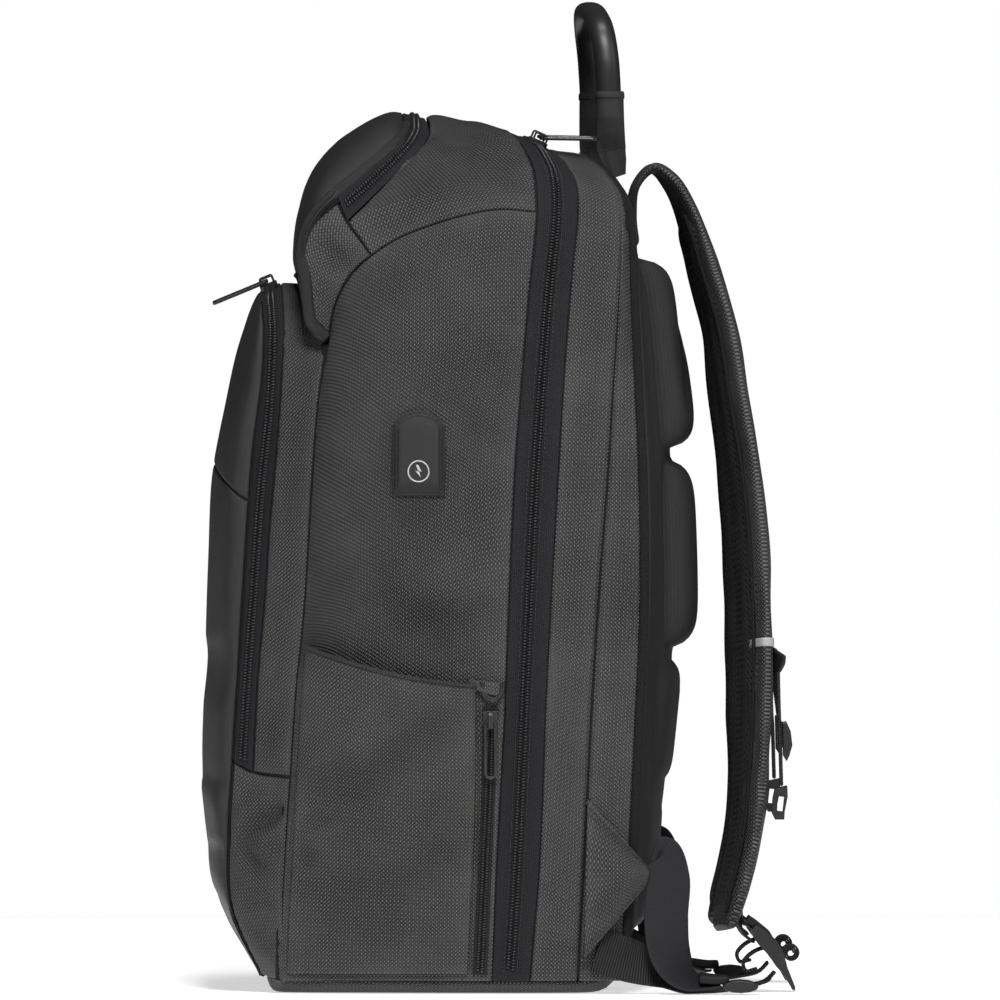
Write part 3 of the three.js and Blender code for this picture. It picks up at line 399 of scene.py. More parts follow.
def woven(name, dark, light, worn, thread, roughness, relief=0.00025, lean=1.0, specular=0.5):
    """A plain weave: sine of one way times sine of the other, on the threads' UV in metres. The
    sign says which thread is on top and the size how high it stands. lean turns it diagonal. Its
    colour holds painted shade and highlight: near black in the gaps between the threads, paler on
    their tops."""
    made, tree, shader = bare_material(name, roughness, specular=specular)
    threads = tree.nodes.new("ShaderNodeUVMap")
    threads.uv_map = "threads"
    split = tree.nodes.new("ShaderNodeSeparateXYZ")
    tree.links.new(threads.outputs[0], split.inputs[0])
    x, y = split.outputs[0], split.outputs[1]
    turn = math.pi / thread
    weft = step_node(tree, "MULTIPLY_ADD", y, lean, x)
    warp = step_node(tree, "MULTIPLY_ADD", x, -lean, y)
    over = step_node(
        tree,
        "MULTIPLY",
        step_node(tree, "SINE", step_node(tree, "MULTIPLY", weft, turn)),
        step_node(tree, "SINE", step_node(tree, "MULTIPLY", warp, turn)),
    )
    high = step_node(tree, "POWER", step_node(tree, "ABSOLUTE", over), 1.2)
    patchy = unevenness_node(tree, 22)
    # Painted shade and highlight: the colour follows the threads' height, near black in the gaps between
    # them and paler on their tops; the noise adds tone that differs at random.
    shade = step_node(tree, "MULTIPLY_ADD", over, 0.22, high)
    shade = step_node(tree, "MULTIPLY_ADD", step_node(tree, "SUBTRACT", patchy, 0.5), 0.5, shade)
    shade = step_node(tree, "MINIMUM", step_node(tree, "MAXIMUM", shade, 0), 1)
    colour = tint_node(tree, shade, dark, light)
    near_seam = tree.nodes.new("ShaderNodeAttribute")
    near_seam.attribute_name = "seam"
    wear = step_node(tree, "MULTIPLY", near_seam.outputs["Fac"], patchy)
    colour = tint_node(tree, step_node(tree, "MULTIPLY", wear, 0.55), colour, worn)
    tree.links.new(colour, shader.inputs["Base Color"])
    gloss = step_node(tree, "MULTIPLY_ADD", patchy, 0.16, roughness - 0.08)
    tree.links.new(gloss, shader.inputs["Roughness"])
    bumped(tree, shader, high, relief)
    return made


coarse_cloth = woven(
    "coated_polyester", (0.001, 0.001, 0.001), (0.078, 0.0775, 0.077), (0.07, 0.0695, 0.069), 0.0022, 0.5,
    relief=0.0005, specular=0.2,
)

base_edge_rows = [
    [0.62, 0.135, 0.012],
    [0.82, 0.175, 0.012],
    [0.89, 0.4, 0.012],
    [0.925, 0.657, 0.012],
    [0.925, 0.75, 0.012],
    [0.905, 0.856, 0.012],
    [0.88, 0.945, 0.012],
]
base_centre_rows = [[0, back, -0.0005] for _, back, _ in base_edge_rows]
base_curved = crowned(curve(base_edge_rows), curve(base_centre_rows), boxy(9), arch(24))


def base_face(u, v):
    """The base's crowned face, kept above the floor and turned up at its front and rear."""
    points = base_curved(u, v)
    points[..., 2] = np.maximum(0.0004, points[..., 2]) + 0.009 * np.abs(2 * v - 1) ** 14
    return points


panel("base_cloth", base_face, coarse_cloth, "coated_cloth", ["base_panel"], step=0.006)

# --- The front pocket ----------------------------------------------------------------------------
# The pocket bulges from the pack's front: a panel of smooth satin polyester in two pieces, sewn
# along a slanting seam, and a short side piece of coarse cloth below the end of each zip.
satin_cloth = woven(
    "satin_polyester", (0.010, 0.0098, 0.0098), (0.024, 0.0235, 0.0232), (0.03, 0.0295, 0.029),
    0.0007, 0.45, relief=0.0001, specular=0.2,
)

pocket_edge_rows = [
    [0.66, 0.125, 0.018],
    [0.72, 0.053, 0.099],
    [0.75, 0.049, 0.183],
    [0.765, 0.058, 0.261],
    [0.775, 0.074, 0.381],
    [0.775, 0.088, 0.491],
    [0.765, 0.106, 0.612],
    [0.75, 0.128, 0.7],
    [0.72, 0.13, 0.752],
    [0.62, 0.124, 0.782],
]
pocket_centre_rows = [
    [0, 0.125, 0.012],
    [0, 0.032, 0.094],
    [0, -0.007, 0.183],
    [0, -0.012, 0.261],
    [0, -0.005, 0.381],
    [0, 0, 0.491],
    [0, 0.014, 0.604],
    [0, 0.06, 0.708],
    [0, 0.09, 0.76],
    [0, 0.118, 0.794],
]
pocket_zip_rear_rows = [
    [0.8, 0.102, 0.25],
    [0.81, 0.113, 0.354],
    [0.815, 0.13, 0.447],
    [0.815, 0.141, 0.527],
    [0.81, 0.157, 0.614],
    [0.79, 0.169, 0.7],
    [0.76, 0.173, 0.752],
    [0.63, 0.171, 0.788],
    [0.32, 0.169, 0.801],
    [0, 0.168, 0.804],
]
main_seam_rows = [
    [0.86, 0.167, 0.014],
    [0.885, 0.171, 0.107],
    [0.895, 0.181, 0.195],
    [0.9, 0.188, 0.244],
    [0.905, 0.201, 0.344],
    [0.91, 0.214, 0.401],
    [0.91, 0.227, 0.493],
    [0.905, 0.241, 0.605],
    [0.9, 0.25, 0.661],
    [0.89, 0.276, 0.735],
]
pocket_edge, pocket_centre = curve(pocket_edge_rows), curve(pocket_centre_rows)
main_seam = curve(main_seam_rows)
zip_end_share = 3 / 9
front_panel = crowned(pocket_edge, pocket_centre, boxy(3.2))


fold_unit = 1.35e-3


def folds(rows):
    """A relief of soft folds seen from the side. Columns: back and up at one end, back and up at
    the other, depth in fold units of 1.35 mm, and width in mm. Each is a groove between two lower
    ridges, a bell across its line, and fades at its ends."""

    def at(points, u=0, v=0):
        lift = 0
        for back0, up0, back1, up1, depth, width in rows:
            start, end = place([[0, back0, up0], [0, back1, up1]])[:, 1:]
            way = end - start
            length = np.linalg.norm(way)
            way = way / length
            off = points[..., 1:] - start
            along = np.clip((off @ way) / length, -0.35, 1.35)
            aside = (off @ np.array([-way[1], way[0]])) / (width * 1e-3)
            fade = np.clip(1 - np.abs(2 * along - 1) ** 3 * 0.9, 0, 1)
            ridges = np.exp(-((aside - 1.6) ** 2)) + np.exp(-((aside + 1.6) ** 2))
            lift = lift - depth * fold_unit * (np.exp(-(aside**2)) - 0.45 * ridges) * fade
        return lift

    return at


def uneven(depth, length, seed, more=None):
    """A relief of gentle waves, with another relief on top."""

    def at(points, u, v):
        lift = depth * waves(points, length, seed)
        return lift + more(points, u, v) if more else lift

    return at


# The slanting seam climbs towards the middle.
split_start, split_rise = 0.6155, 0.045


def split_at(u):
    return split_start + split_rise * boxy(2)(crown_step(u))


lower_front_folds = folds(
    [
        [0.03, 0.25, 0.075, 0.205, 2.47, 6],
        [0.02, 0.175, 0.07, 0.12, 2.66, 7],
        [0.05, 0.1, 0.1, 0.055, 2.09, 6],
        [0.0, 0.4, 0.06, 0.33, 1.52, 14],
    ]
)
panel(
    "front_cloth_lower",
    lambda u, v: front_panel(u, v * split_at(u)),
    satin_cloth,
    "smooth_cloth",
    ["front_panel_lower"],
    step=0.004,
    relief=uneven(0.0004, 0.07, 5, lower_front_folds),
)
panel(
    "front_cloth_upper",
    lambda u, v: front_panel(u, split_at(u) + v * (1 - split_at(u))),
    satin_cloth,
    "smooth_cloth",
    ["front_panel_upper"],
    step=0.004,
    relief=uneven(0.0004, 0.06, 6),
)


def patch(left, right, bottom=None, top=None, swell=0.0):
    """A ruled surface between two long seams, blended to follow its two end curves, with a
    swell outwards to the side: a sine one way times a sine the other."""

    def at(u, v):
        share = u[..., None]
        points = left(v) * (1 - share) + right(v) * share
        zero, one = np.zeros_like(u), np.ones_like(u)
        if bottom:
            plain = left(zero) * (1 - share) + right(zero) * share
            points = points + (bottom(u) - plain) * (1 - v[..., None])
        if top:
            plain = left(one) * (1 - share) + right(one) * share
            points = points + (top(u) - plain) * v[..., None]
        points[..., 0] += swell * np.sin(np.pi * u) * np.sin(np.pi * v)
        return points

    return at


def pair(name, surface, cloth, slot, nodes, **shape):
    """A panel on the right side and its mirror image on the left."""
    panel(name + "_right", surface, cloth, slot, [n + "_right" for n in nodes], **shape)
    panel(name + "_left", mirrored(surface), cloth, slot, [n + "_left" for n in nodes], **shape)


zip_end_seam = curve([pocket_edge_rows[3], pocket_zip_rear_rows[0], main_seam_rows[3]])
low_side = patch(
    part(pocket_edge, 0, zip_end_share), part(main_seam, 0, 3 / 9), None, zip_end_seam, 0.003
)
low_side_folds = folds(
    [
        [0.185, 0.213, 0.07, 0.178, 3.61, 5.5],
        [0.06, 0.176, 0.125, 0.14, 2.09, 4.5],
        [0.19, 0.152, 0.14, 0.175, 1.71, 4],
        [0.1, 0.09, 0.16, 0.05, 1.52, 7],
    ]
)
pair(
    "low_side_cloth",
    low_side,
    coarse_cloth,
    "coated_cloth",
    ["pocket_low_side"],
    relief=uneven(0.0004, 0.045, 7, low_side_folds),
)

# --- The front pocket's zip ----------------------------------------------------------------------
# The zip runs up one side of the front panel, over its top and down the other side. Its woven
# tape is near black, with a nylon coil 6 mm wide in the middle, and the coil is sewn on by a
# row of thread on each side.
tape_wall = 0.0011
tape_cloth = woven(
    "zip_tape", (0.003, 0.0028, 0.0034), (0.014, 0.0128, 0.0152), (0.016, 0.015, 0.017), 0.0012, 0.8,
    relief=0.0003, specular=0.2, lean=0.0,
)
coil_nylon, tree, shader = bare_material("coil_nylon", 0.34)
tree.links.new(
    tint_node(tree, unevenness_node(tree, 300, 1), (0.008, 0.0078, 0.0088), (0.02, 0.0195, 0.021)),
    shader.inputs["Base Color"],
)
gusset_top_rows = [
    [0.9, 0.188, 0.246],
    [0.905, 0.201, 0.344],
    [0.91, 0.218, 0.425],
    [0.91, 0.231, 0.527],
    [0.905, 0.242, 0.614],
    [0.9, 0.255, 0.685],
    [0.87, 0.275, 0.735],
    [0.78, 0.282, 0.777],
    [0.5, 0.28, 0.796],
    [0, 0.278, 0.8],
]


def track(surface, u_at, start, end, pitch, lift=0.0):
    """Evenly spaced places along a surface at u_at, from v of start to end, with the outward,
    the forward and the sideways direction at each."""
    v = np.linspace(start, end, 1500)
    u = u_at(v) if callable(u_at) else np.full_like(v, u_at)
    line = surface(u, v)
    out = tilt(surface, u, v)
    line = line + out * lift
    gone = np.concatenate([[0], np.cumsum(np.linalg.norm(np.diff(line, axis=0), axis=1))])
    stops = np.arange(pitch / 2, gone[-1], pitch)
    pick = lambda values: np.stack([np.interp(stops, gone, values[:, k]) for k in range(3)], -1)
    line, out = pick(line), pick(out)
    along = np.gradient(line, axis=0)
    along /= np.linalg.norm(along, axis=1, keepdims=True)
    out -= along * np.sum(out * along, 1, keepdims=True)
    out /= np.linalg.norm(out, axis=1, keepdims=True)
    return line, out, along, np.cross(along, out)


def tube(path, side, face, wide, thick, sides=6):
    """Rings of points round a path: at each place an ellipse of the half widths wide and thick
    along side and face. Gives the points and the faces, with both ends closed."""
    angle = 2 * np.pi * np.arange(sides) / sides
    shape = lambda size: np.broadcast_to(np.asarray(size, float), (len(path),))[:, None, None]
    points = (
        path[:, None, :]
        + side[:, None, :] * np.cos(angle)[:, None] * shape(wide)
        + face[:, None, :] * np.sin(angle)[:, None] * shape(thick)
    )
    at = np.arange(len(path) * sides).reshape(len(path), sides)
    turned = np.roll(at, -1, axis=1)
    walls = np.stack([at[:-1], turned[:-1], turned[1:], at[1:]], -1).reshape(-1, 4)
    cap = np.array([[0, k, k + 1, k + 2] for k in range(1, sides - 1, 2)])
    return points.reshape(-1, 3), np.vstack([walls, cap[:, ::-1], at[-1][cap]])


def repeated(name, unit, places, cloth, slot, swing=0.0, body="pack"):
    """One small shape, in side, along and out coordinates, set down at each place of a track."""
    points, corners = unit
    line, out, along, side = places
    side = side + along * swing
    spots = (
        line[:, None, :]
        + points[None, :, 0:1] * side[:, None, :]
        + points[None, :, 1:2] * along[:, None, :]
        + points[None, :, 2:3] * out[:, None, :]
    )
    steps = np.arange(len(line))[:, None, None] * len(points)
    return piece(name, spots, (corners[None] + steps).reshape(-1, 4), cloth, slot, body=body)


def arc_unit(span, rise, radius, lean=0.0, rings=6, sides=4, flat=1.0):
    """A short bent tube: its middle line is half a sine of the given span and rise along X, and
    it gets thinner at both ends."""
    s = np.linspace(0, 1, rings)
    path = np.stack([span * s, lean * s, rise * np.sin(np.pi * s)], -1)
    side = np.tile([0.0, 1.0, 0.0], (rings, 1))
    face = np.tile([0.0, 0.0, 1.0], (rings, 1))
    slim = radius * np.sqrt(np.maximum(0.06, 1 - (2 * s - 1) ** 4))
    return tube(path, face, side, slim * flat, slim, sides)


def zip_coil(name, surface, u_at, start, end, half=0.0029, pitch=0.0017, body="pack"):
    """Both halves of a coil: a row of arcs from the middle to each side, half a pitch apart."""
    points, corners = arc_unit(half, 0.0009, 0.00052, 0.0003, 5, 4)
    for hand, word in ((1, "front"), (-1, "rear")):
        unit = (points * [hand, 1, 1], corners[:, ::hand])
        places = track(surface, u_at, start, end, pitch, 0.0005)
        if hand < 0:
            places = (places[0] + places[2] * pitch / 2, *places[1:])
        repeated(f"{name}_{word}", unit, places, coil_nylon, "zip_tape", body=body)


thread_black, tree, shader = bare_material("thread", 0.6)
tree.links.new(
    tint_node(tree, unevenness_node(tree, 400, 2), (0.006, 0.006, 0.006), (0.016, 0.016, 0.016)),
    shader.inputs["Base Color"],
)


def stitches(name, surface, u_at, start, end, slot="coated_cloth", lift=0.0, pitch=0.0034, turn=False):
    """A row of lockstitches: short threads with their ends sunk into the cloth."""
    points, corners = arc_unit(0.0027, 0.00035, 0.00028, 0, 4, 4)
    points = points[:, [1, 0, 2]] - [0, 0.00135, 0]
    flipped_surface = (lambda u, v: surface(v, u)) if turn else surface
    places = track(flipped_surface, u_at, start, end, pitch, lift)
    return repeated(name, (points, corners[:, ::-1]), places, thread_black, slot)


front_top = lambda t: front_panel(np.asarray(t) / 2, np.ones_like(np.asarray(t, float)))
pocket_zip_front = over_the_top(joined(part(pocket_edge, zip_end_share, 1), front_top, 0.7))
pocket_zip_rear = over_the_top(curve(pocket_zip_rear_rows))
pocket_zip = patch(pocket_zip_front, pocket_zip_rear)
panel(
    "pocket_tape", pocket_zip, tape_cloth, "zip_tape", ["pocket_zip_tape"],
    step=0.005, turn=0.001, gather=(0.00008, 0.02, 0.006), wall=tape_wall,
)
zip_coil("pocket_coil", pocket_zip, 0.5, 0.004, 0.996)
for side_share, word in ((0.34, "front"), (0.66, "rear")):
    stitches(f"pocket_coil_thread_{word}", pocket_zip, side_share, 0.003, 0.997, "zip_tape", 0.0001, 0.0026)

# --- The strip behind the pocket's zip -----------------------------------------------------------
# One strip of coarse cloth joins the pocket's zip to the body, over the top and down both sides.
gusset = patch(pocket_zip_rear, over_the_top(curve(gusset_top_rows)))
panel(
    "gusset_cloth", gusset, coarse_cloth, "coated_cloth", ["front_gusset"],
    relief=uneven(0.0005, 0.05, 8), gather=(0.0003, 0.012, 0.008),
)

# --- The sides -----------------------------------------------------------------------------------
# Each side of the main compartment is one panel of coarse cloth, sewn to the gusset in front, to
# the hood above and to the main zip behind. It hangs in slight diagonal folds.
hood_seam_rows = [
    [0.9, 0.282, 0.742],
    [0.915, 0.296, 0.779],
    [0.925, 0.329, 0.811],
    [0.94, 0.377, 0.834],
    [0.95, 0.44, 0.854],
    [0.953, 0.523, 0.87],
    [0.95, 0.609, 0.882],
    [0.942, 0.68, 0.887],
    [0.93, 0.762, 0.884],
]
zip_front_rows = [
    [0.95, 0.657, 0.014],
    [0.985, 0.669, 0.158],
    [1, 0.685, 0.302],
    [1, 0.697, 0.446],
    [0.995, 0.711, 0.594],
    [0.985, 0.727, 0.694],
    [0.965, 0.743, 0.787],
    [0.93, 0.762, 0.884],
    [0.86, 0.757, 0.928],
    [0.7, 0.734, 0.957],
    [0.4, 0.711, 0.972],
    [0, 0.699, 0.976],
]
zip_corner_share = 7 / 11
hood_seam, zip_front = curve(hood_seam_rows), curve(zip_front_rows)
side_face = patch(main_seam, part(zip_front, 0, zip_corner_share), None, hood_seam, 0.005)
side_folds = folds(
    [
        [0.27, 0.475, 0.67, 0.375, 2.85, 17],
        [0.42, 0.405, 0.68, 0.43, 1.9, 11],
        [0.3, 0.42, 0.24, 0.49, 1.33, 12],
        [0.53, 0.665, 0.71, 0.6, 1.71, 10],
        [0.3, 0.74, 0.45, 0.83, 1.14, 12],
    ]
)
flap_back, flap_foot = 0.487, 0.562
flap_width, flap_height = 0.031, 0.049


def flap_pull(points):
    """The cloth round the charging flap is drawn in by its stitches: short dents that point
    at the flap, deepest at its rim."""
    middle = place([0, flap_back, flap_foot])[1:] + [0, flap_height * 0.52]
    off = (points[..., 1:] - middle) / [flap_width / 2, flap_height / 2]
    reach = np.linalg.norm(off, axis=-1)
    angle = np.arctan2(off[..., 1], off[..., 0])
    rim = np.exp(-(((reach - 1.12) / 0.22) ** 2))
    return rim * (0.00035 * np.sin(9 * angle + 1.1) * (angle > -0.6) - 0.0004) * (points[..., 0] > 0)


side_relief = uneven(0.0005, 0.06, 9, lambda points, u, v: side_folds(points) + flap_pull(points))
pair("side_cloth", side_face, coarse_cloth, "coated_cloth", ["side_panel"], relief=side_relief)


def on_side(back, up, lift=0.0):
    """The places of the right side's panel at back and up, moved out by lift. The panel's own
    two parameters are found by eight rounds of Newton's method on all points at once."""
    back, up = np.broadcast_arrays(np.asarray(back, float), np.asarray(up, float))
    wanted = place(np.stack([np.zeros_like(back), back, up], -1))
    u, v, step = np.full_like(wanted[..., 0], 0.5), np.full_like(wanted[..., 0], 0.5), 1e-3
    for _ in range(8):
        here = side_face(u, v)
        du = (side_face(u + step, v) - here) / step
        dv = (side_face(u, v + step) - here) / step
        off = wanted - here
        size = du[..., 1] * dv[..., 2] - dv[..., 1] * du[..., 2]
        u = np.clip(u + (off[..., 1] * dv[..., 2] - dv[..., 1] * off[..., 2]) / size, 0.001, 0.998)
        v = np.clip(v + (du[..., 1] * off[..., 2] - off[..., 1] * du[..., 2]) / size, 0.001, 0.998)
    found = side_face(u, v)
    found[..., 0] += lift
    return found


def columns_at(rows, t):
    """The values of a table's columns at shares t of its length."""
    rows = np.asarray(rows, float)
    at = np.linspace(0, 1, len(rows))
    return [np.interp(t, at, column) for column in rows.T]


# --- The side pockets ----------------------------------------------------------------------------
# A flat pocket of the same cloth covers the lower half of each side. Its mouth slants down towards
# the rear, where a short zip lets it open, under a small flap.
# Columns: back at the front edge, up there, back at the rear edge, up there, share of the mouth.
side_pocket_rows = [
    [0.18, 0.022, 0.602, 0.022, 0.15],
    [0.186, 0.11, 0.612, 0.1, 0.62],
    [0.197, 0.205, 0.62, 0.185, 0.85],
    [0.208, 0.3, 0.624, 0.268, 0.95],
    [0.222, 0.394, 0.624, 0.349, 1],
]
pocket_lift, pocket_mouth = 0.0024, 0.013


def side_pocket(u, v):
    """The pocket's face: it lies on the side panel at its edges and stands off in the middle,
    by a sine across it, more towards the mouth."""
    front_back, front_up, rear_back, rear_up, stand = columns_at(side_pocket_rows, v)
    bow = np.sin(np.pi * np.clip(u, 0, 1))
    return on_side(
        front_back + (rear_back - front_back) * u,
        front_up + (rear_up - front_up) * u - 0.008 * bow * v,
        pocket_lift + pocket_mouth * stand * bow**0.7,
    )


side_pocket_folds = folds(
    [
        [0.2, 0.205, 0.62, 0.31, 3.8, 12],
        [0.2, 0.19, 0.29, 0.2, 1.9, 4],
        [0.19, 0.17, 0.25, 0.145, 1.71, 5],
        [0.4, 0.1, 0.62, 0.165, 2.47, 11],
        [0.3, 0.34, 0.45, 0.3, 1.33, 13],
    ]
)
pair(
    "side_pocket_cloth",
    side_pocket,
    coarse_cloth,
    "coated_cloth",
    ["side_pocket"],
    relief=uneven(0.0005, 0.05, 10, side_pocket_folds),
    gather=(0.0003, 0.011, 0.007),
    wall=0.0016,
)
# The mouth's hem is turned in and its fold stands a little proud.
hem_count = 160
hem_t = np.linspace(0.012, 0.985, hem_count)
hem_line = side_pocket(hem_t, np.full(hem_count, 0.997)) - [0.0006, 0, 0]
hem_out = tilt(side_pocket, hem_t, np.full(hem_count, 0.99))


def roll(name, line, out, radius, cloth, slot, flat=1.0, sides=8, nodes=()):
    """A folded or piped edge: a tube along a line, its section an ellipse flat times as thick
    as it is wide. Its threads' UV is the length round and along it."""
    along = np.gradient(line, axis=0)
    along /= np.linalg.norm(along, axis=1, keepdims=True)
    side = np.cross(along, out)
    side /= np.linalg.norm(side, axis=1, keepdims=True)
    face = np.cross(side, along)
    points, corners = tube(line, side, face, radius, radius * flat, sides)
    gone = np.concatenate([[0], np.cumsum(np.linalg.norm(np.diff(line, axis=0), axis=1))])
    uv = np.stack(np.broadcast_arrays(np.arange(sides) * radius * 2, gone[:, None]), -1)
    return piece(name, points, corners, cloth, slot, uv, nodes)


for hand, word in ((1, "right"), (-1, "left")):
    roll(
        f"side_pocket_hem_{word}", hem_line * [hand, 1, 1], hem_out * [hand, 1, 1], 0.0013,
        coarse_cloth, "coated_cloth", 1.3,
    )

# Columns: back at the zip's front edge, back at its rear edge, up.
side_zip_rows = [[0.61, 0.648, 0.022], [0.622, 0.655, 0.12], [0.631, 0.664, 0.22], [0.634, 0.674, 0.326]]


def side_zip(u, v):
    """The short zip's tape, on the side panel behind the pocket."""
    front, rear, up = columns_at(side_zip_rows, v)
    return on_side(front + (rear - front) * u, up, 0.0019)


pair(
    "side_tape", side_zip, tape_cloth, "zip_tape", ["side_zip_tape"],
    turn=0.0008, gather=(0, 1, 1), wall=tape_wall,
)
# Columns: back, up at the flap's foot, up at its head.
garage_rows = [[0.6, 0.349, 0.358], [0.625, 0.343, 0.356], [0.66, 0.338, 0.355], [0.684, 0.335, 0.3525]]


def garage(u, v):
    """The small flap over the zip's upper end, which stands off the panel at its foot."""
    back, low, high = columns_at(garage_rows, u)
    stand = 0.0022 * (1 - v) * np.sin(np.pi * np.clip(u, 0, 1))
    return on_side(back, low + (high - low) * v, 0.0026 + stand)


pair(
    "side_zip_flap", garage, coarse_cloth, "coated_cloth", ["side_zip_garage"],
    step=0.0012, turn=0.0012, gather=(0, 1, 1),
)
for hand, word in ((1, "right"), (-1, "left")):
    side_of_zip = side_zip if hand > 0 else mirrored(side_zip)
    zip_coil(f"side_coil_{word}", side_of_zip, 0.5, 0.01, 0.93, half=0.0024, pitch=0.0015)

# The coil parts above the slider, and its two bare ends curve under the flap.
loop_t = np.linspace(0, 1, 60)
for hand, word in ((1, "rear"), (-1, "front")):
    loop_back = 0.655 + hand * 0.024 * np.sin(np.pi * 0.62 * loop_t) ** 0.8
    loop_line = on_side(loop_back, 0.333 + 0.021 * loop_t**1.3, 0.0032)
    loop_out = np.tile([1.0, 0.0, 0.0], (len(loop_t), 1))
    loop_along = np.gradient(loop_line, axis=0)
    loop_along /= np.linalg.norm(loop_along, axis=1, keepdims=True)
    loop_places = (loop_line[::3], loop_out[::3], loop_along[::3], np.cross(loop_along, loop_out)[::3])
    repeated(
        f"side_coil_end_{word}", arc_unit(0.0022, 0.0009, 0.00045, 0.0002, 6, 4), loop_places,
        coil_nylon, "zip_tape",
    )
    roll(f"side_coil_cord_{word}", loop_line, loop_out, 0.0008, coil_nylon, "zip_tape", 0.8, 6)

# --- The charging flap ---------------------------------------------------------------------------
# A small arched flap of smooth cloth covers the charging socket on the right side. Its rim is
# folded and stitched twice, its middle is domed, and a pale ring with a bolt marks it.
flap_arch, flap_dome = 0.010, 0.005


def flap_at(across, height, lift):
    """Places on the flap by distance in metres across from its middle line and up its face."""
    back = flap_back + across / body_depth
    up = flap_foot + height / body_height
    return on_side(back, up, pocket_lift + lift)


def flap_face(u, v):
    """The flap's face: its head is an arch, and its middle is a dome inside a flat rim."""
    side = 2 * u - 1
    head = flap_height - flap_arch * np.abs(side) ** 2.4
    inner = np.clip((1 - np.maximum(np.abs(side), np.abs(2 * v - 1))) / 0.34, 0, 1)
    swell = flap_dome * (inner * inner * (3 - 2 * inner)) * (0.75 + 0.25 * np.cos(np.pi * (v - 0.45)))
    return flap_at(side * flap_width / 2, v * head, swell - 0.0006)


panel(
    "charging_flap_cloth", flap_face, satin_cloth, "smooth_cloth", ["usb_flap"],
    step=0.001, turn=0.0012, gather=(0.00008, 0.005, 0.003), wall=0.001,
)


def inset_path(inset, count=240, foot=True):
    """A line round the flap, inset from its rim: up its right edge, over the arch and down its
    left edge, or along its foot."""
    t = np.linspace(-1, 1, count)
    if foot:
        return t * 0.93, np.full(count, inset / flap_height)
    side = np.sin(np.pi / 2 * np.clip(t * 1.9, -1, 1)) * (1 - 2 * inset / flap_width)
    head = flap_height - flap_arch * np.abs(side) ** 2.4
    run = np.clip((np.abs(t) - 0.52) / 0.48, 0, 1)
    return side, (1 - inset / head) * (1 - run) + run * 0.05


def path_on(surface, sides, ups, lift):
    """A line on a surface from shares, with its outward directions."""
    u = (sides + 1) / 2
    return surface(u, ups) + tilt(surface, u, ups) * lift, tilt(surface, u, ups)


def along_line(line, out, pitch):
    """Evenly spaced places along a line, with their outward, forward and sideways directions."""
    gone = np.concatenate([[0], np.cumsum(np.linalg.norm(np.diff(line, axis=0), axis=1))])
    stops = np.arange(pitch / 2, gone[-1], pitch)
    pick = lambda values: np.stack([np.interp(stops, gone, values[:, k]) for k in range(3)], -1)
    line, out = pick(line), pick(out)
    along = np.gradient(line, axis=0)
    along /= np.linalg.norm(along, axis=1, keepdims=True)
    return line, out, along, np.cross(along, out)


stitch_points, stitch_corners = arc_unit(0.0021, 0.0003, 0.00026, 0, 5, 4)
stitch_unit = (stitch_points[:, [1, 0, 2]] - [0, 0.00105, 0], stitch_corners[:, ::-1])
for number, (inset, foot) in enumerate(((0.0017, False), (0.0035, False), (0.0022, True))):
    line, out = path_on(flap_face, *inset_path(inset, foot=foot), 0.0002)
    spots = along_line(line, out, 0.0027)
    repeated(f"flap_stitches_{number}", stitch_unit, spots, thread_black, "smooth_cloth")

mark_paint, tree, shader = bare_material("mark_paint", 0.5)
tree.links.new(
    tint_node(tree, unevenness_node(tree, 500, 2), (0.3, 0.3, 0.3), (0.42, 0.42, 0.42)),
    shader.inputs["Base Color"],
)
mark_height, mark_radius, mark_line = 0.0145, 0.0058, 0.0007
turn_t = np.linspace(0, 2 * np.pi, 97)[:-1]


def on_flap(across, height, lift):
    """Places just over the flap's domed face, by metres across and up."""
    v = height / flap_height
    return flap_face(0.5 + across / flap_width, v) + [lift, 0, 0]


ring_edges = [
    on_flap(r * np.cos(turn_t), mark_height + r * np.sin(turn_t), lift)
    for r, lift in (
        (mark_radius + mark_line / 2, -0.0002),
        (mark_radius + mark_line / 2, 0.0002),
        (mark_radius - mark_line / 2, 0.0002),
        (mark_radius - mark_line / 2, -0.0002),
    )
]
ring_at = np.arange(4 * len(turn_t)).reshape(4, -1)
ring_next = np.roll(ring_at, -1, axis=1)
ring_walls = [ring_at, ring_next, np.roll(ring_next, -1, axis=0), np.roll(ring_at, -1, axis=0)]
ring_faces = np.stack(ring_walls, -1).reshape(-1, 4)[:, ::-1]
piece("charging_mark_ring", np.concatenate(ring_edges), ring_faces, mark_paint, "smooth_cloth")
# The bolt: two slanted strokes that overlap in the middle. Columns: across and up in mm.
bolt_rows = [
    [[0.3, 3.6], [1.5, 3.6], [0.4, 0.35], [-1.9, -0.35]],
    [[1.9, 0.45], [-0.35, -0.35], [-1.3, -3.6], [-0.5, -2.6]],
]
for number, stroke in enumerate(bolt_rows):
    across, height = np.array(stroke).T * 1e-3
    across = across * -1
    stroke_top = on_flap(across, mark_height + height, 0.0003)
    stroke_foot = on_flap(across, mark_height + height, -0.0003)
    corners = np.array([[0, 1, 2, 3], [7, 6, 5, 4], [0, 4, 5, 1], [1, 5, 6, 2], [2, 6, 7, 3], [3, 7, 4, 0]])
    ends = np.concatenate([stroke_top, stroke_foot])
    piece(f"charging_mark_bolt_{number}", ends, corners, mark_paint, "smooth_cloth")

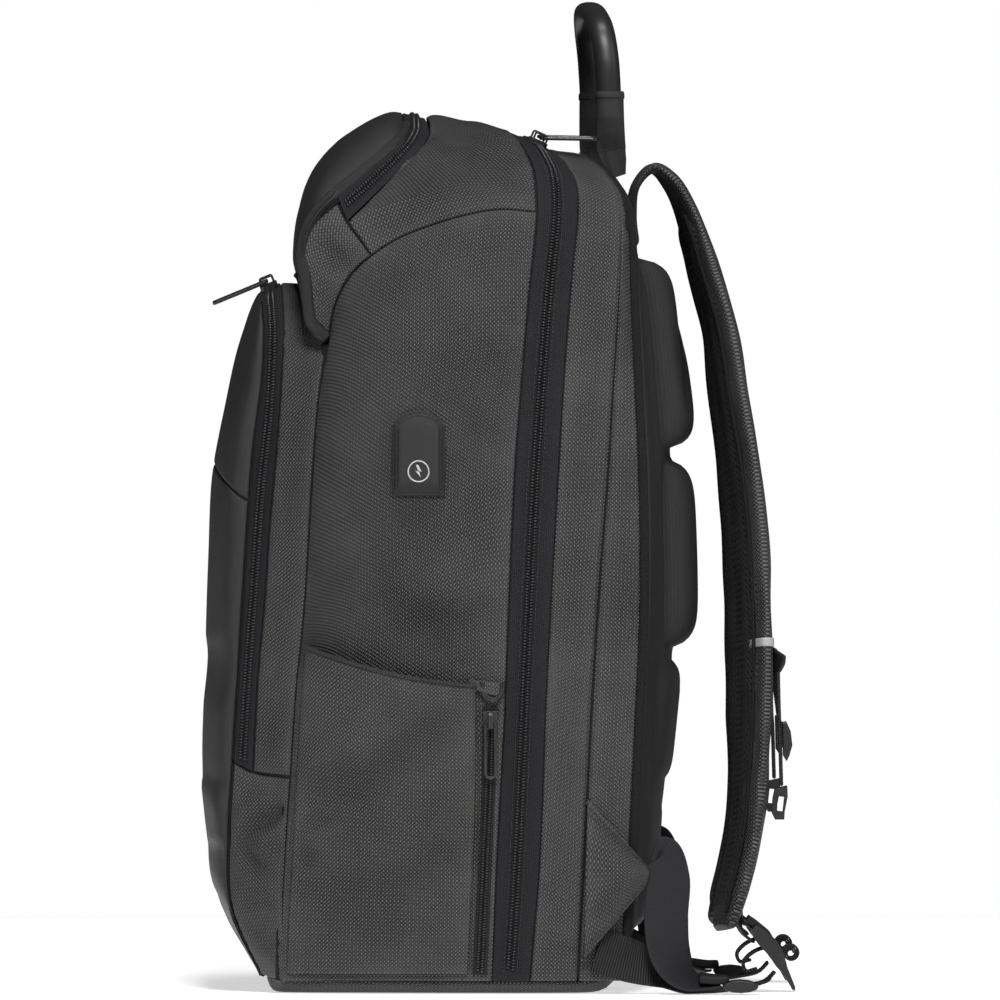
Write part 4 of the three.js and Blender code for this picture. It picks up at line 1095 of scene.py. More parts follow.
# --- The main zip --------------------------------------------------------------------------------
# The main compartment opens all round by a wide zip, from low on one side over the top to low on
# the other. Its coil lies nearer the rear edge, and a row of stitches holds the tape's front edge.
zip_rear_rows = [
    [0.95, 0.745, 0.014],
    [0.985, 0.769, 0.164],
    [1, 0.782, 0.331],
    [1, 0.794, 0.446],
    [0.995, 0.81, 0.584],
    [0.98, 0.824, 0.7],
    [0.96, 0.84, 0.8],
    [0.92, 0.856, 0.878],
    [0.86, 0.854, 0.914],
    [0.7, 0.833, 0.938],
    [0.4, 0.806, 0.952],
    [0, 0.79, 0.957],
]
main_zip_rear = over_the_top(curve(zip_rear_rows))
main_zip = patch(over_the_top(zip_front), main_zip_rear)
panel(
    "main_tape", main_zip, tape_cloth, "zip_tape", ["main_zip_tape"],
    step=0.005, turn=0.0012, gather=(0.0001, 0.03, 0.006), wall=tape_wall,
)
main_coil_share = 0.47
zip_coil("main_coil", main_zip, main_coil_share, 0.004, 0.996, half=0.0027)
for number, share in enumerate((0.3, 0.64)):
    stitches(f"main_coil_thread_{number}", main_zip, share, 0.003, 0.997, "zip_tape", 0.0001, 0.0026)

# --- The hood ------------------------------------------------------------------------------------
# The hood overhangs the front pocket: a crowned front of satin cloth with a piped edge, a zip
# behind it, a short side piece below each end of the zip, and a top of coarse cloth.
hood_pipe_rows = [
    [0.915, 0.272, 0.742],
    [0.945, 0.238, 0.76],
    [0.955, 0.229, 0.784],
    [0.955, 0.224, 0.81],
    [0.95, 0.215, 0.836],
    [0.945, 0.222, 0.858],
    [0.935, 0.248, 0.883],
    [0.92, 0.296, 0.906],
    [0.9, 0.359, 0.931],
    [0.87, 0.412, 0.953],
    [0.8, 0.447, 0.97],
    [0.66, 0.456, 0.983],
]
hood_centre_rows = [
    [0, 0.205, 0.812],
    [0, 0.2, 0.826],
    [0, 0.2, 0.845],
    [0, 0.203, 0.866],
    [0, 0.213, 0.89],
    [0, 0.229, 0.914],
    [0, 0.255, 0.938],
    [0, 0.296, 0.962],
    [0, 0.34, 0.977],
    [0, 0.386, 0.99],
    [0, 0.424, 0.997],
    [0, 0.452, 0.997],
]
hood_zip_rear_rows = [
    [0.93, 0.322, 0.872],
    [0.92, 0.373, 0.896],
    [0.905, 0.424, 0.921],
    [0.88, 0.475, 0.946],
    [0.82, 0.507, 0.965],
    [0.68, 0.512, 0.979],
    [0.38, 0.508, 0.989],
    [0, 0.505, 0.991],
]
hood_side_end_rows = [
    [0.94, 0.377, 0.834],
    [0.936, 0.35, 0.853],
    [0.93, 0.322, 0.872],
    [0.925, 0.302, 0.892],
]
hood_zip_start, hood_side_share = 7 / 11, 3 / 8
hood_pipe = curve(hood_pipe_rows)
hood_front = crowned(hood_pipe, curve(hood_centre_rows), boxy(3.4), arch(8))
panel(
    "hood_front_cloth", hood_front, satin_cloth, "smooth_cloth", ["hood_front"],
    step=0.004, relief=uneven(0.0005, 0.05, 11),
)
hood_top_edge = lambda t: hood_front(np.asarray(t) / 2, np.ones_like(np.asarray(t, float)))
hood_zip_front = over_the_top(joined(part(hood_pipe, hood_zip_start, 1), hood_top_edge, 0.6))
hood_zip_rear_half = curve(hood_zip_rear_rows)
hood_zip = patch(hood_zip_front, over_the_top(hood_zip_rear_half))
panel(
    "hood_tape", hood_zip, tape_cloth, "zip_tape", ["hood_zip_tape"],
    turn=0.001, gather=(0.0001, 0.02, 0.005), wall=tape_wall,
)
zip_coil("hood_coil", hood_zip, 0.5, 0.01, 0.99, half=0.0026)
hood_side_end = curve(hood_side_end_rows)
hood_side = patch(
    part(hood_pipe, 0.0, hood_zip_start),
    part(hood_seam, 0, hood_side_share),
    None,
    lambda t: hood_side_end(1 - np.asarray(t)),
)
hood_side_folds = folds(
    [
        [0.3, 0.845, 0.34, 0.782, 2.85, 5],
        [0.25, 0.86, 0.3, 0.81, 1.71, 5],
        [0.37, 0.85, 0.35, 0.815, 1.9, 4],
    ]
)
pair(
    "hood_side_cloth", hood_side, coarse_cloth, "coated_cloth", ["hood_side"],
    relief=uneven(0.0004, 0.03, 12, hood_side_folds), gaps=(-0.0012, 0.0003, 0.0003, 0.0003),
)
hood_top_front_half = joined(part(hood_side_end, 0, 2 / 3), hood_zip_rear_half, 0.15)
hood_top_right = part(hood_seam, hood_side_share, 1)
hood_top = patch(
    over_the_top(hood_top_front_half),
    over_the_top(part(zip_front, zip_corner_share, 1)),
    hood_top_right,
    lambda t: hood_top_right(t) * flipped,
)
hood_top_folds = folds(
    [
        [0.4, 0.845, 0.5, 0.93, 1.9, 9],
        [0.46, 0.9, 0.58, 0.97, 1.52, 10],
        [0.62, 0.9, 0.7, 0.955, 1.33, 8],
    ]
)
hood_settles, settle_back, settle_reach = 0.0065, 0.61, 0.017


def settled(points, u=0, v=0):
    """The hood's top sags between its zip and the main zip: a bell along the depth."""
    off = points[..., 1] - (settle_back - base_centre) * body_depth
    high = np.clip(points[..., 2] / body_height - 0.9, 0, 0.06) / 0.06
    return hood_top_folds(points) - hood_settles * np.exp(-((off / settle_reach) ** 2)) * high


panel(
    "hood_top_cloth", hood_top, coarse_cloth, "coated_cloth", ["hood_top"],
    relief=uneven(0.0006, 0.06, 13, settled), gather=(0.0003, 0.012, 0.008), step=0.0035,
)
pipe_t = np.linspace(0.0, 1.0, 200)
pipe_line = hood_pipe(pipe_t)
for hand, word in ((1, "right"), (-1, "left")):
    pipe_out = np.tile([hand * 1.0, -0.25, 0.15], (200, 1))
    roll(
        f"hood_piping_{word}", (pipe_line + [-0.0016, 0.0004, 0]) * [hand, 1, 1], pipe_out, 0.0034,
        satin_cloth, "smooth_cloth", 0.6,
    )
    corner_line = hood_pipe(np.linspace(0.42, 0.69, 60)) + [-0.0045, 0.0015, -0.0012]
    roll(
        f"hood_corner_{word}", corner_line * [hand, 1, 1], pipe_out[:60], 0.005, tape_cloth,
        "zip_tape", 0.7,
    )
    roll(
        f"hood_hem_{word}",
        hood_front(0.5 * np.linspace(0.01, 1, 160), np.zeros(160)) * [hand, 1, 1],
        np.tile([0.0, -0.4, -1.0], (160, 1)), 0.0016, satin_cloth, "smooth_cloth",
    )

# --- The rear compartment ------------------------------------------------------------------------
# Behind the main zip a strip and a bound wedge of coarse cloth run over the top to the back
# board. Their seam is topstitched, and a narrow binding covers the board's edge.
rear_seam_rows = [
    [0.93, 0.856, 0.014],
    [0.96, 0.87, 0.142],
    [0.975, 0.884, 0.288],
    [0.972, 0.905, 0.454],
    [0.965, 0.926, 0.584],
    [0.95, 0.94, 0.69],
    [0.93, 0.954, 0.79],
    [0.9, 0.961, 0.865],
    [0.84, 0.956, 0.902],
    [0.68, 0.924, 0.929],
    [0.4, 0.886, 0.946],
    [0, 0.872, 0.951],
]
back_edge_rows = [
    [0.9, 0.958, 0.014],
    [0.93, 0.977, 0.152],
    [0.94, 0.993, 0.301],
    [0.94, 1.005, 0.446],
    [0.935, 1.002, 0.584],
    [0.92, 0.993, 0.68],
    [0.9, 0.984, 0.775],
    [0.87, 0.979, 0.85],
    [0.81, 0.969, 0.89],
    [0.64, 0.945, 0.914],
    [0.38, 0.918, 0.931],
    [0, 0.905, 0.936],
]
rear_seam, back_edge = over_the_top(curve(rear_seam_rows)), over_the_top(curve(back_edge_rows))
rear_strip = patch(main_zip_rear, rear_seam)
rear_wedge = patch(rear_seam, back_edge)
panel(
    "rear_strip_cloth", rear_strip, coarse_cloth, "coated_cloth", ["rear_strip"],
    step=0.004, relief=uneven(0.0005, 0.05, 14), gather=(0.00025, 0.012, 0.006),
)
panel(
    "rear_wedge_cloth", rear_wedge, coarse_cloth, "coated_cloth", ["rear_wedge"],
    step=0.004, relief=uneven(0.0006, 0.045, 15), gather=(0.00025, 0.014, 0.006),
)
stitches("rear_strip_topstitch", rear_strip, 0.93, 0.004, 0.996, lift=0.0001)
stitches("rear_wedge_topstitch", rear_wedge, 0.08, 0.004, 0.996, lift=0.0001)
edge_t = np.linspace(0.002, 0.998, 400)
edge_line = back_edge(edge_t)
edge_out = tilt(rear_wedge, np.full(400, 0.98), edge_t)
roll(
    "back_binding", edge_line + [0, 0.0012, 0], edge_out, 0.0026, tape_cloth, "zip_tape", 0.8, 10
)

# Inside every seam the edges of the cloth are bound together with a dark tape.
binding_radius, binding_depth = 0.0036, 0.0034


def inner_binding(name, line_at, count=400):
    """A rolled binding just inside a seam: the seam's line moved towards the pack's heart."""
    line = line_at(np.linspace(0.001, 0.999, count))
    along = np.gradient(line, axis=0)
    along /= np.linalg.norm(along, axis=1, keepdims=True)
    out = (line - heart) * [2.5, 1, 1]
    out = out - along * np.sum(out * along, 1, keepdims=True)
    out /= np.linalg.norm(out, axis=1, keepdims=True)
    inside = line - out * binding_depth
    roll(f"seam_binding_{name}", inside, out, binding_radius, tape_cloth, "zip_tape", 0.6)


inner_binding("front_split", lambda t: front_panel(t, split_at(t)))
inner_binding("pocket_zip_front", pocket_zip_front)
inner_binding("pocket_zip_rear", pocket_zip_rear)
inner_binding("gusset", over_the_top(curve(gusset_top_rows)))
inner_binding("hood_zip_front", hood_zip_front)
inner_binding("hood_zip_rear", lambda t: over_the_top(hood_zip_rear_half)(t) - [0, 0, 0.0016])
inner_binding("main_zip_front", over_the_top(zip_front))
inner_binding("main_zip_rear", main_zip_rear)
inner_binding("rear_seam", rear_seam)
for hand, word in ((1, "right"), (-1, "left")):
    one_side = {
        "main": main_seam, "hood": hood_seam, "zip_end": zip_end_seam,
        "low_front": part(pocket_edge, 0, zip_end_share),
        "hood_end": hood_side_end, "hood_pipe": hood_pipe,
    }
    for seam_name, seam_line in one_side.items():
        inner_binding(
            f"{seam_name}_{word}", lambda t, base=seam_line, way=hand: base(t) * [way, 1, 1]
        )

# --- The back ------------------------------------------------------------------------------------
# A stiff board under 3-D air mesh, whose open six-sided cells are about 3.6 mm apart. Tall moulded
# foam pads stand on it in two columns over a lumbar pad, under a fine knitted cloth, and step
# down to the board in two layers.
back_centre_rows = [
    [0, 0.965, 0.014],
    [0, 0.99, 0.152],
    [0, 1.01, 0.301],
    [0, 1.022, 0.446],
    [0, 1.018, 0.584],
    [0, 1.006, 0.68],
    [0, 0.996, 0.775],
    [0, 0.986, 0.85],
    [0, 0.958, 0.903],
    [0, 0.909, 0.935],
]
cell_pitch = 0.0036


def cells(x, y, pitch=cell_pitch):
    """Open cells of a knitted mesh: the sum of three cosines 120 degrees apart, which peaks at
    the middle of each six-sided cell, made into a flat-bottomed hole from 0 to 1."""
    turn = 2 * np.pi / (pitch * 0.866)
    ways = [0, 2 * np.pi / 3, 4 * np.pi / 3]
    total = sum(np.cos(turn * (x * np.cos(way) + y * np.sin(way))) for way in ways)
    return np.clip((total - 0.1) / 1.6, 0, 1) ** 0.7


def air_mesh(name, dark, light, pitch=cell_pitch, relief=0.0006):
    """Knitted mesh: dark in the cells, which the shape or the threads' UV gives, and paler on
    the yarn between them. The dark of the cells is painted shade in the mesh's open holes."""
    made, tree, shader = bare_material(name, 0.75, specular=0.3)
    threads = tree.nodes.new("ShaderNodeUVMap")
    threads.uv_map = "threads"
    split = tree.nodes.new("ShaderNodeSeparateXYZ")
    tree.links.new(threads.outputs[0], split.inputs[0])
    turn = 2 * math.pi / (pitch * 0.866)
    total = 0.0
    for way in (0, 2 * math.pi / 3, 4 * math.pi / 3):
        x = step_node(tree, "MULTIPLY", split.outputs[0], turn * math.cos(way))
        angle = step_node(tree, "MULTIPLY_ADD", split.outputs[1], turn * math.sin(way), x)
        total = step_node(tree, "ADD", step_node(tree, "COSINE", angle), total)
    hole = step_node(tree, "MULTIPLY_ADD", total, 0.62, -0.06)
    hole = step_node(tree, "MINIMUM", step_node(tree, "MAXIMUM", hole, 0), 1)
    yarn = step_node(tree, "MULTIPLY_ADD", unevenness_node(tree, 260, 2), 0.5, -0.25)
    # Painted shade: the open cells are coloured dark, as if in shadow, and the yarn between them paler,
    # with noise for tone that differs at random.
    shade = step_node(tree, "ADD", step_node(tree, "SUBTRACT", 1.0, hole), yarn)
    shade = step_node(tree, "MINIMUM", step_node(tree, "MAXIMUM", shade, 0), 1)
    tree.links.new(tint_node(tree, shade, dark, light), shader.inputs["Base Color"])
    bumped(tree, shader, step_node(tree, "SUBTRACT", 1.0, hole), relief, 0.8)
    return made


spacer_mesh = air_mesh("air_mesh", (0.0015, 0.0015, 0.0015), (0.017, 0.017, 0.017))
pad_knit = air_mesh("pad_knit", (0.006, 0.006, 0.006), (0.014, 0.014, 0.014), 0.0012, 0.0001)
back_top_share = 9 / 11
back_side, back_centre = part(curve(back_edge_rows), 0, back_top_share), curve(back_centre_rows)
back_plan = lambda s, v: 1 - from_centre(s) ** (2 + 5 * (1 - v**5))
back_face = crowned(back_side, back_centre, back_plan, arch(2), lambda u: u)
panel(
    "back_mesh", back_face, spacer_mesh, "air_mesh", ["back_board"],
    step=0.004, turn=0.003, gather=(0.0002, 0.015, 0.01), wall=0.003, gaps=(0.002, 0.002, 0.002, 0.002),
)


def on_back(across, up):
    """Places of the back board's face at across and up, found on its rows by interpolation."""
    v_table = np.linspace(0, 1, 400)
    v = np.interp(up * body_height, back_centre(v_table)[:, 2], v_table)
    s = (1 - across * body_width / 2 / back_side(v)[..., 0]) / 2
    e, c = back_side(v), back_centre(v)
    return np.stack(
        [
            e[..., 0] * (1 - 2 * s),
            e[..., 1] + (c[..., 1] - e[..., 1]) * back_plan(s, v),
            e[..., 2] + (c[..., 2] - e[..., 2]) * arch(2)(s),
        ],
        -1,
    )


pad_side, pad_foot, pad_head = 0.71, 0.067, 0.836
# Columns: up at a layer's foot and head, across at its inner and outer edge, and its height in mm
# at foot and head. A layer that starts at the middle is one piece across, and the others are two.
pad_layers = [
    [0.1, 0.836, 0.0, 0.7, 5.5, 4.0],
    [0.16, 0.826, 0.085, 0.65, 11.0, 9.5],
    [0.07, 0.228, 0.0, 0.66, 9.0, 10.5],
    [0.236, 0.378, 0.0, 0.64, 13.5, 17.0],
    [0.388, 0.604, 0.11, 0.6, 25.0, 23.0],
    [0.614, 0.83, 0.11, 0.6, 27.0, 21.0],
]


def pad_height(across, up):
    """The foam's height: the highest of the layers, each a rounded box both ways, the root of
    the product of two arches."""
    height = np.full(np.shape(across), 0.002)
    for foot, head, inner, outer, low, high in pad_layers:
        t = np.clip((up - foot) / (head - foot), 0, 1)
        off = np.abs(across)
        place_in = off / outer if inner == 0 else (2 * off - inner - outer) / (outer - inner)
        wide = 1 - np.clip(np.abs(place_in), 0, 1) ** (9 if inner == 0 else 5)
        rise = 1 - np.abs(2 * t - 1) ** 7
        height = np.maximum(height, (low + (high - low) * t) * 1e-3 * (rise * wide) ** 0.42)
    return height


def height_grid(step):
    """The padding's grid in shares: across and up, with its face and threads in metres."""
    wide, tall = body_width * pad_side, body_height * (pad_head - pad_foot)
    across, up = np.meshgrid(
        np.linspace(-pad_side, pad_side, int(wide / step)),
        np.linspace(pad_foot, pad_head, int(tall / step)),
    )
    return across, up, np.stack([across * body_width / 2, up * body_height], -1)


def block(name, top, foot, cloth, slot, thread, **more):
    """A closed pad from the grids of its top and its foot, joined round the rim."""
    rows, columns = top.shape[:2]
    corners = grid_faces(rows, columns)
    at = np.arange(rows * columns).reshape(rows, columns)
    rim = np.concatenate([at[0, :-1], at[:-1, -1], at[-1, :0:-1], at[:0:-1, 0]])
    after = np.roll(rim, -1)
    under = rows * columns
    walls = np.stack([after, rim, rim + under, after + under], -1)
    outward = np.cross(top[1, 1] - top[1, 0], top[2, 0] - top[1, 0])
    faces = np.vstack([corners, corners[:, ::-1] + under, walls])
    if np.dot(outward, top[rows // 2, columns // 2] - foot[rows // 2, columns // 2]) < 0:
        faces = faces[:, ::-1]
    points = np.concatenate([top.reshape(-1, 3), foot.reshape(-1, 3)])
    return piece(name, points, faces, cloth, slot, np.concatenate([thread.reshape(-1, 2)] * 2), **more)


def puffed(name, top, foot, pressure, most):
    """How far a padded piece swells when its foam pushes on its cover, at its top's points: the
    closed block is inflated as cloth for twenty frames, its foot held, and no point may move
    further than most."""
    rows, columns = top.shape[:2]
    trial = block(name, top, foot, spacer_mesh, "air_mesh", np.zeros((rows, columns, 2)))
    held = trial.vertex_groups.new(name="held")
    held.add(list(range(rows * columns, 2 * rows * columns)), 1.0, "REPLACE")
    cloth = trial.modifiers.new("cover", "CLOTH")
    cloth.settings.quality = 5
    cloth.settings.mass = 0.3
    cloth.settings.use_pressure = True
    cloth.settings.uniform_pressure_force = pressure
    cloth.settings.effector_weights.gravity = 0
    cloth.settings.tension_stiffness = cloth.settings.compression_stiffness = 12
    cloth.settings.vertex_group_mass = "held"
    cloth.collision_settings.use_collision = False
    stage_scene = bpy.context.scene
    for moment in range(1, 21):
        stage_scene.frame_set(moment)
    shown = trial.evaluated_get(bpy.context.evaluated_depsgraph_get())
    found = np.zeros(len(shown.data.vertices) * 3, np.float32)
    shown.data.vertices.foreach_get("co", found)
    stage_scene.frame_set(1)
    mesh = trial.data
    bpy.data.objects.remove(trial)
    bpy.data.meshes.remove(mesh)
    moved = found.reshape(-1, 3)[: rows * columns].reshape(top.shape) - top
    size = np.linalg.norm(moved, axis=-1, keepdims=True)
    return moved * np.minimum(1, most / np.maximum(size, 1e-9))


def smoothly_finer(values, shape):
    """A coarse grid of values drawn out to a finer grid, straight between its points."""
    rows = np.linspace(0, values.shape[0] - 1, shape[0])
    columns = np.linspace(0, values.shape[1] - 1, shape[1])
    r = np.minimum(rows.astype(int), values.shape[0] - 2)
    c = np.minimum(columns.astype(int), values.shape[1] - 2)
    y, x = (rows - r)[:, None, None], (columns - c)[None, :, None]
    low = values[r][:, c] * (1 - x) + values[r][:, c + 1] * x
    high = values[r + 1][:, c] * (1 - x) + values[r + 1][:, c + 1] * x
    return low * (1 - y) + high * y


def pad_points(across, up, swell=0.0):
    """The padding's top and foot grids."""
    foot = on_back(across, up) + [0, 0.0004, 0]
    top = foot + np.stack([0 * across, pad_height(across, up), 0 * across], -1) + swell
    return top, foot


swell = 0.0
across, up, thread = height_grid(0.0024)
rough_across, rough_up, _ = height_grid(0.0045)
rough_swell = puffed("back_padding_trial", *pad_points(rough_across, rough_up), 4.0, 0.004)
swell = smoothly_finer(rough_swell, across.shape)
top, foot = pad_points(across, up, swell)
back_pads = block("back_pads", top, foot, pad_knit, "air_mesh", thread, nodes=["back_padding"])

# --- The carry handle ----------------------------------------------------------------------------
# A moulded black rubber grip, 14 by 11 mm, arches between two sleeves of herringbone webbing. Each
# sleeve is hemmed at its mouth, stitched flat under the grip's end, and its tail is sewn into the
# top seam.
grip_rubber, tree, shader = bare_material("grip_rubber", 0.4, specular=0.3)
tree.links.new(
    tint_node(tree, unevenness_node(tree, 60), (0.008, 0.008, 0.008), (0.014, 0.014, 0.014)),
    shader.inputs["Base Color"],
)
bumped(tree, shader, unevenness_node(tree, 1500, 2), 0.00006, 0.5)


def carried(rows, count, start=0.0, end=1.0, level=(1.0, 0.0, 0.0)):
    """A band's middle line through rows of across, back, up, turn, width share and thickness
    share, with its sideways and outward directions and its two shares at each place. Its width
    lies along level, turned about the path by the row's angle."""
    table = np.array([list(row) + [0, 1, 1][len(row) - 3 :] for row in rows], float)
    t = np.linspace(start, end, count)
    middle = curve(table)(t)
    along = np.gradient(middle, axis=0)
    along /= np.linalg.norm(along, axis=1, keepdims=True)
    side = np.array(level) - along * (along @ np.array(level))[:, None]
    side /= np.linalg.norm(side, axis=1, keepdims=True)
    row_at = np.linspace(0, 1, len(table))
    angle, wide, thick = (np.interp(t, row_at, table[:, k])[:, None] for k in (3, 4, 5))
    face = np.cross(along, side)
    angle = np.radians(angle)
    side, face = side * np.cos(angle) + face * np.sin(angle), face * np.cos(angle) - side * np.sin(angle)
    return middle, side, face, wide, thick


def rounding(middle, radius, foot=0.04):
    """Shares that round off both ends of a band over radius: a quarter circle."""
    gone = np.concatenate([[0], np.cumsum(np.linalg.norm(np.diff(middle, axis=0), axis=1))])
    near = np.clip(np.minimum(gone, gone[-1] - gone) / radius, 0, 1)
    return np.sqrt(np.maximum(foot**2, 1 - (1 - near) ** 2))[:, None]


def band(
    name, path, width, thickness, cloth, slot, nodes=(), power=6, sides=24, offset=0.0,
    ends=0.0, relief=None, body="pack", hand=1,
):
    """A strap or webbing: its section is a superellipse, whose sides go flat as the power grows,
    carried along a path. The relief moves its points along its face by metres across and along."""
    middle, side, face, wide, thick = path
    if ends:
        soft = rounding(middle, ends)
        wide, thick = wide * (1 - (1 - soft) * ends * 2 / width), thick * soft
    angle = 2 * np.pi * (np.arange(sides) + 0.5) / sides
    x = np.sign(np.cos(angle)) * np.abs(np.cos(angle)) ** (2 / power)
    y = np.sign(np.sin(angle)) * np.abs(np.sin(angle)) ** (2 / power)
    right, out = wide * width / 2 * x, thick * thickness / 2 * y + offset
    gone = np.concatenate([[0], np.cumsum(np.linalg.norm(np.diff(middle, axis=0), axis=1))])
    if relief:
        out = out + relief(right, gone[:, None] + 0 * right) * np.sign(y) * np.abs(y) ** 0.5
    points = middle[:, None] + side[:, None] * right[..., None] + face[:, None] * out[..., None]
    points = points * [hand, 1, 1]
    count = len(middle)
    at = np.arange(count * sides).reshape(count, sides)
    after = np.roll(at, -1, axis=1)
    walls = np.stack([at[:-1], after[:-1], after[1:], at[1:]], -1).reshape(-1, 4)
    fan = np.array([[0, k, k + 1, k + 2] for k in range(1, sides - 1, 2)])
    faces = np.vstack([walls, fan[:, ::-1], at[-1][fan]])[:, ::hand]
    flat = np.stack([right, np.broadcast_to(gone[:, None], right.shape)], -1).reshape(-1, 2)
    return piece(name, points, faces, cloth, slot, flat, nodes, body)


def ribbed(name, dark, light, rib, chevron, roughness, relief=0.00012):
    """Webbing whose ribs run across it, or in chevrons: the size of a sine of the length along
    it plus a zigzag of the place across it. Its colour holds painted shade and highlight: darker
    in the grooves, paler on the ribs' tops."""
    made, tree, shader = bare_material(name, roughness, specular=0.15)
    threads = tree.nodes.new("ShaderNodeUVMap")
    threads.uv_map = "threads"
    split = tree.nodes.new("ShaderNodeSeparateXYZ")
    tree.links.new(threads.outputs[0], split.inputs[0])
    zigzag = step_node(tree, "PINGPONG", split.outputs[0], 0.003)
    lean = step_node(tree, "MULTIPLY_ADD", zigzag, chevron, split.outputs[1])
    wave = step_node(tree, "SINE", step_node(tree, "MULTIPLY", lean, math.pi / rib))
    high = step_node(tree, "ABSOLUTE", wave)
    yarn = step_node(tree, "MULTIPLY_ADD", unevenness_node(tree, 500, 2), 0.5, -0.25)
    # Painted shade and highlight: dark in the grooves between the ribs and pale on their tops, with noise
    # for tone that differs at random.
    shade = step_node(tree, "MAXIMUM", step_node(tree, "ADD", step_node(tree, "POWER", high, 0.7), yarn), 0)
    shade = step_node(tree, "MINIMUM", shade, 1)
    tree.links.new(tint_node(tree, shade, dark, light), shader.inputs["Base Color"])
    bumped(tree, shader, high, relief)
    return made


sleeve_webbing = ribbed(
    "herringbone_webbing", (0.005, 0.005, 0.005), (0.026, 0.0257, 0.0253), 0.0013, 1.0, 0.6
)
grip_rows = [
    [0.315, 0.918, 1.0],
    [0.318, 0.911, 1.058],
    [0.285, 0.902, 1.09],
    [0.17, 0.893, 1.108],
    [0, 0.889, 1.113],
    [-0.17, 0.893, 1.108],
    [-0.285, 0.902, 1.09],
    [-0.318, 0.911, 1.058],
    [-0.315, 0.918, 1.0],
]
grip_width, grip_depth = 0.014, 0.011
handle_turn = 0.053


def turned(rows, hand=1):
    """The handle stands turned a little: its right end is further back than its left end."""
    return [[row[0], row[1] + handle_turn * hand * row[0], *row[2:]] for row in rows]


band(
    "carry_grip", carried(turned(grip_rows), 160, level=(0.0, 1.0, 0.0)), grip_width, grip_depth,
    grip_rubber, "handle_rubber", ["handle_grip"], power=2.3, sides=28, ends=0.004,
)
sleeve_rows = [
    [0.315, 0.9185, 1.0215, 90, 1, 1],
    [0.315, 0.919, 0.992, 90, 1.03, 0.98],
    [0.315, 0.92, 0.972, 90, 1.06, 0.62],
    [0.315, 0.922, 0.956, 90, 1.08, 0.2],
    [0.313, 0.931, 0.94, 88, 0.86, 0.17],
    [0.31, 0.941, 0.925, 80, 0.5, 0.17],
]


def tucks(right, gone):
    """The sleeve is gathered towards its stitches: lengthwise ripples that grow downwards."""
    return 0.0005 * np.sin(right * 900) * np.clip(gone / 0.03, 0, 1)


for hand, word in ((1, "right"), (-1, "left")):
    sleeve = carried(turned(sleeve_rows, hand), 90)
    band(
        f"grip_sleeve_{word}", sleeve, grip_width + 0.0016, grip_depth + 0.0026, sleeve_webbing,
        "ribbed_webbing", [f"handle_sleeve_{word}"], power=2.8, sides=28, relief=tucks, hand=hand,
    )
    hem = tuple(values[:7] for values in sleeve)
    band(
        f"grip_sleeve_hem_{word}", hem, grip_width + 0.0026, grip_depth + 0.0036, sleeve_webbing,
        "ribbed_webbing", power=2.6, sides=28, ends=0.0012, hand=hand,
    )
    seam_at = [values[53] for values in sleeve]
    across_t = np.linspace(-0.95, 0.95, 40)[:, None]
    for face_hand, face_word in ((1, "outer"), (-1, "inner")):
        line = seam_at[0] + seam_at[1] * across_t * 0.0085 + seam_at[2] * face_hand * 0.0021
        line = line * [hand, 1, 1]
        out = np.tile(seam_at[2] * face_hand * [hand, 1, 1], (40, 1))
        repeated(
            f"grip_sleeve_stitches_{word}_{face_word}", stitch_unit, along_line(line, out, 0.0024),
            thread_black, "ribbed_webbing",
        )

# --- The shoulder straps -------------------------------------------------------------------------
# Each strap is 70 mm wide and 13 mm of foam, with coarse cloth outside and round its edges and
# air mesh inside. It is sewn to the back's top, rolls over, hangs free and narrows to its end.
strap_width, strap_depth = 0.070, 0.0115
strap_rows = [
    [0.29, 0.9975, 0.846, 0, 0.86, 0.35],
    [0.29, 0.989, 0.88, 0, 0.88, 0.35],
    [0.29, 0.999, 0.915, 0, 0.9, 0.4],
    [0.295, 1.039, 0.934, 0, 0.92, 0.45],
    [0.3, 1.079, 0.917, -4, 0.95, 0.6],
    [0.31, 1.118, 0.88, -6, 1, 0.8],
    [0.33, 1.157, 0.818, -8, 1, 0.9],
    [0.37, 1.194, 0.751, -9, 1, 0.95],
    [0.41, 1.217, 0.672, -11, 1, 1],
    [0.45, 1.24, 0.593, -13, 1, 1],
    [0.48, 1.255, 0.514, -14, 1, 1],
    [0.505, 1.262, 0.446, -14, 1, 1],
    [0.525, 1.265, 0.378, -14, 1, 1],
    [0.54, 1.264, 0.31, -13, 1, 1],
    [0.555, 1.262, 0.243, -10, 0.97, 1],
    [0.575, 1.25, 0.175, -9, 0.9, 1],
    [0.595, 1.222, 0.113, -9, 0.8, 0.95],
    [0.61, 1.196, 0.07, -9, 0.6, 0.7],
]
strap_webbing = ribbed(
    "ribbed_webbing", (0.002, 0.002, 0.002), (0.020, 0.0197, 0.0194), 0.0015, 0.0, 0.62, 0.0003
)
reflective_tape, tree, shader = bare_material("reflective_tape", 0.35)
tree.links.new(
    tint_node(tree, unevenness_node(tree, 900, 1), (0.20, 0.20, 0.205), (0.34, 0.34, 0.345)),
    shader.inputs["Base Color"],
)


def strap_face(right, gone):
    """The strap's foam bulges a little unevenly, and its edges are drawn in along the seam."""
    spots = np.stack([right, gone], -1)
    return 0.0005 * waves(spots, 0.05, 21) - 0.0005 * (np.abs(right) > 0.028)


def strap_mesh_face(right, gone):
    """The mesh facing's open cells, and the foam's unevenness under it."""
    return -0.0007 * cells(right, gone) + 0.0005 * waves(np.stack([right, gone], -1), 0.045, 22)


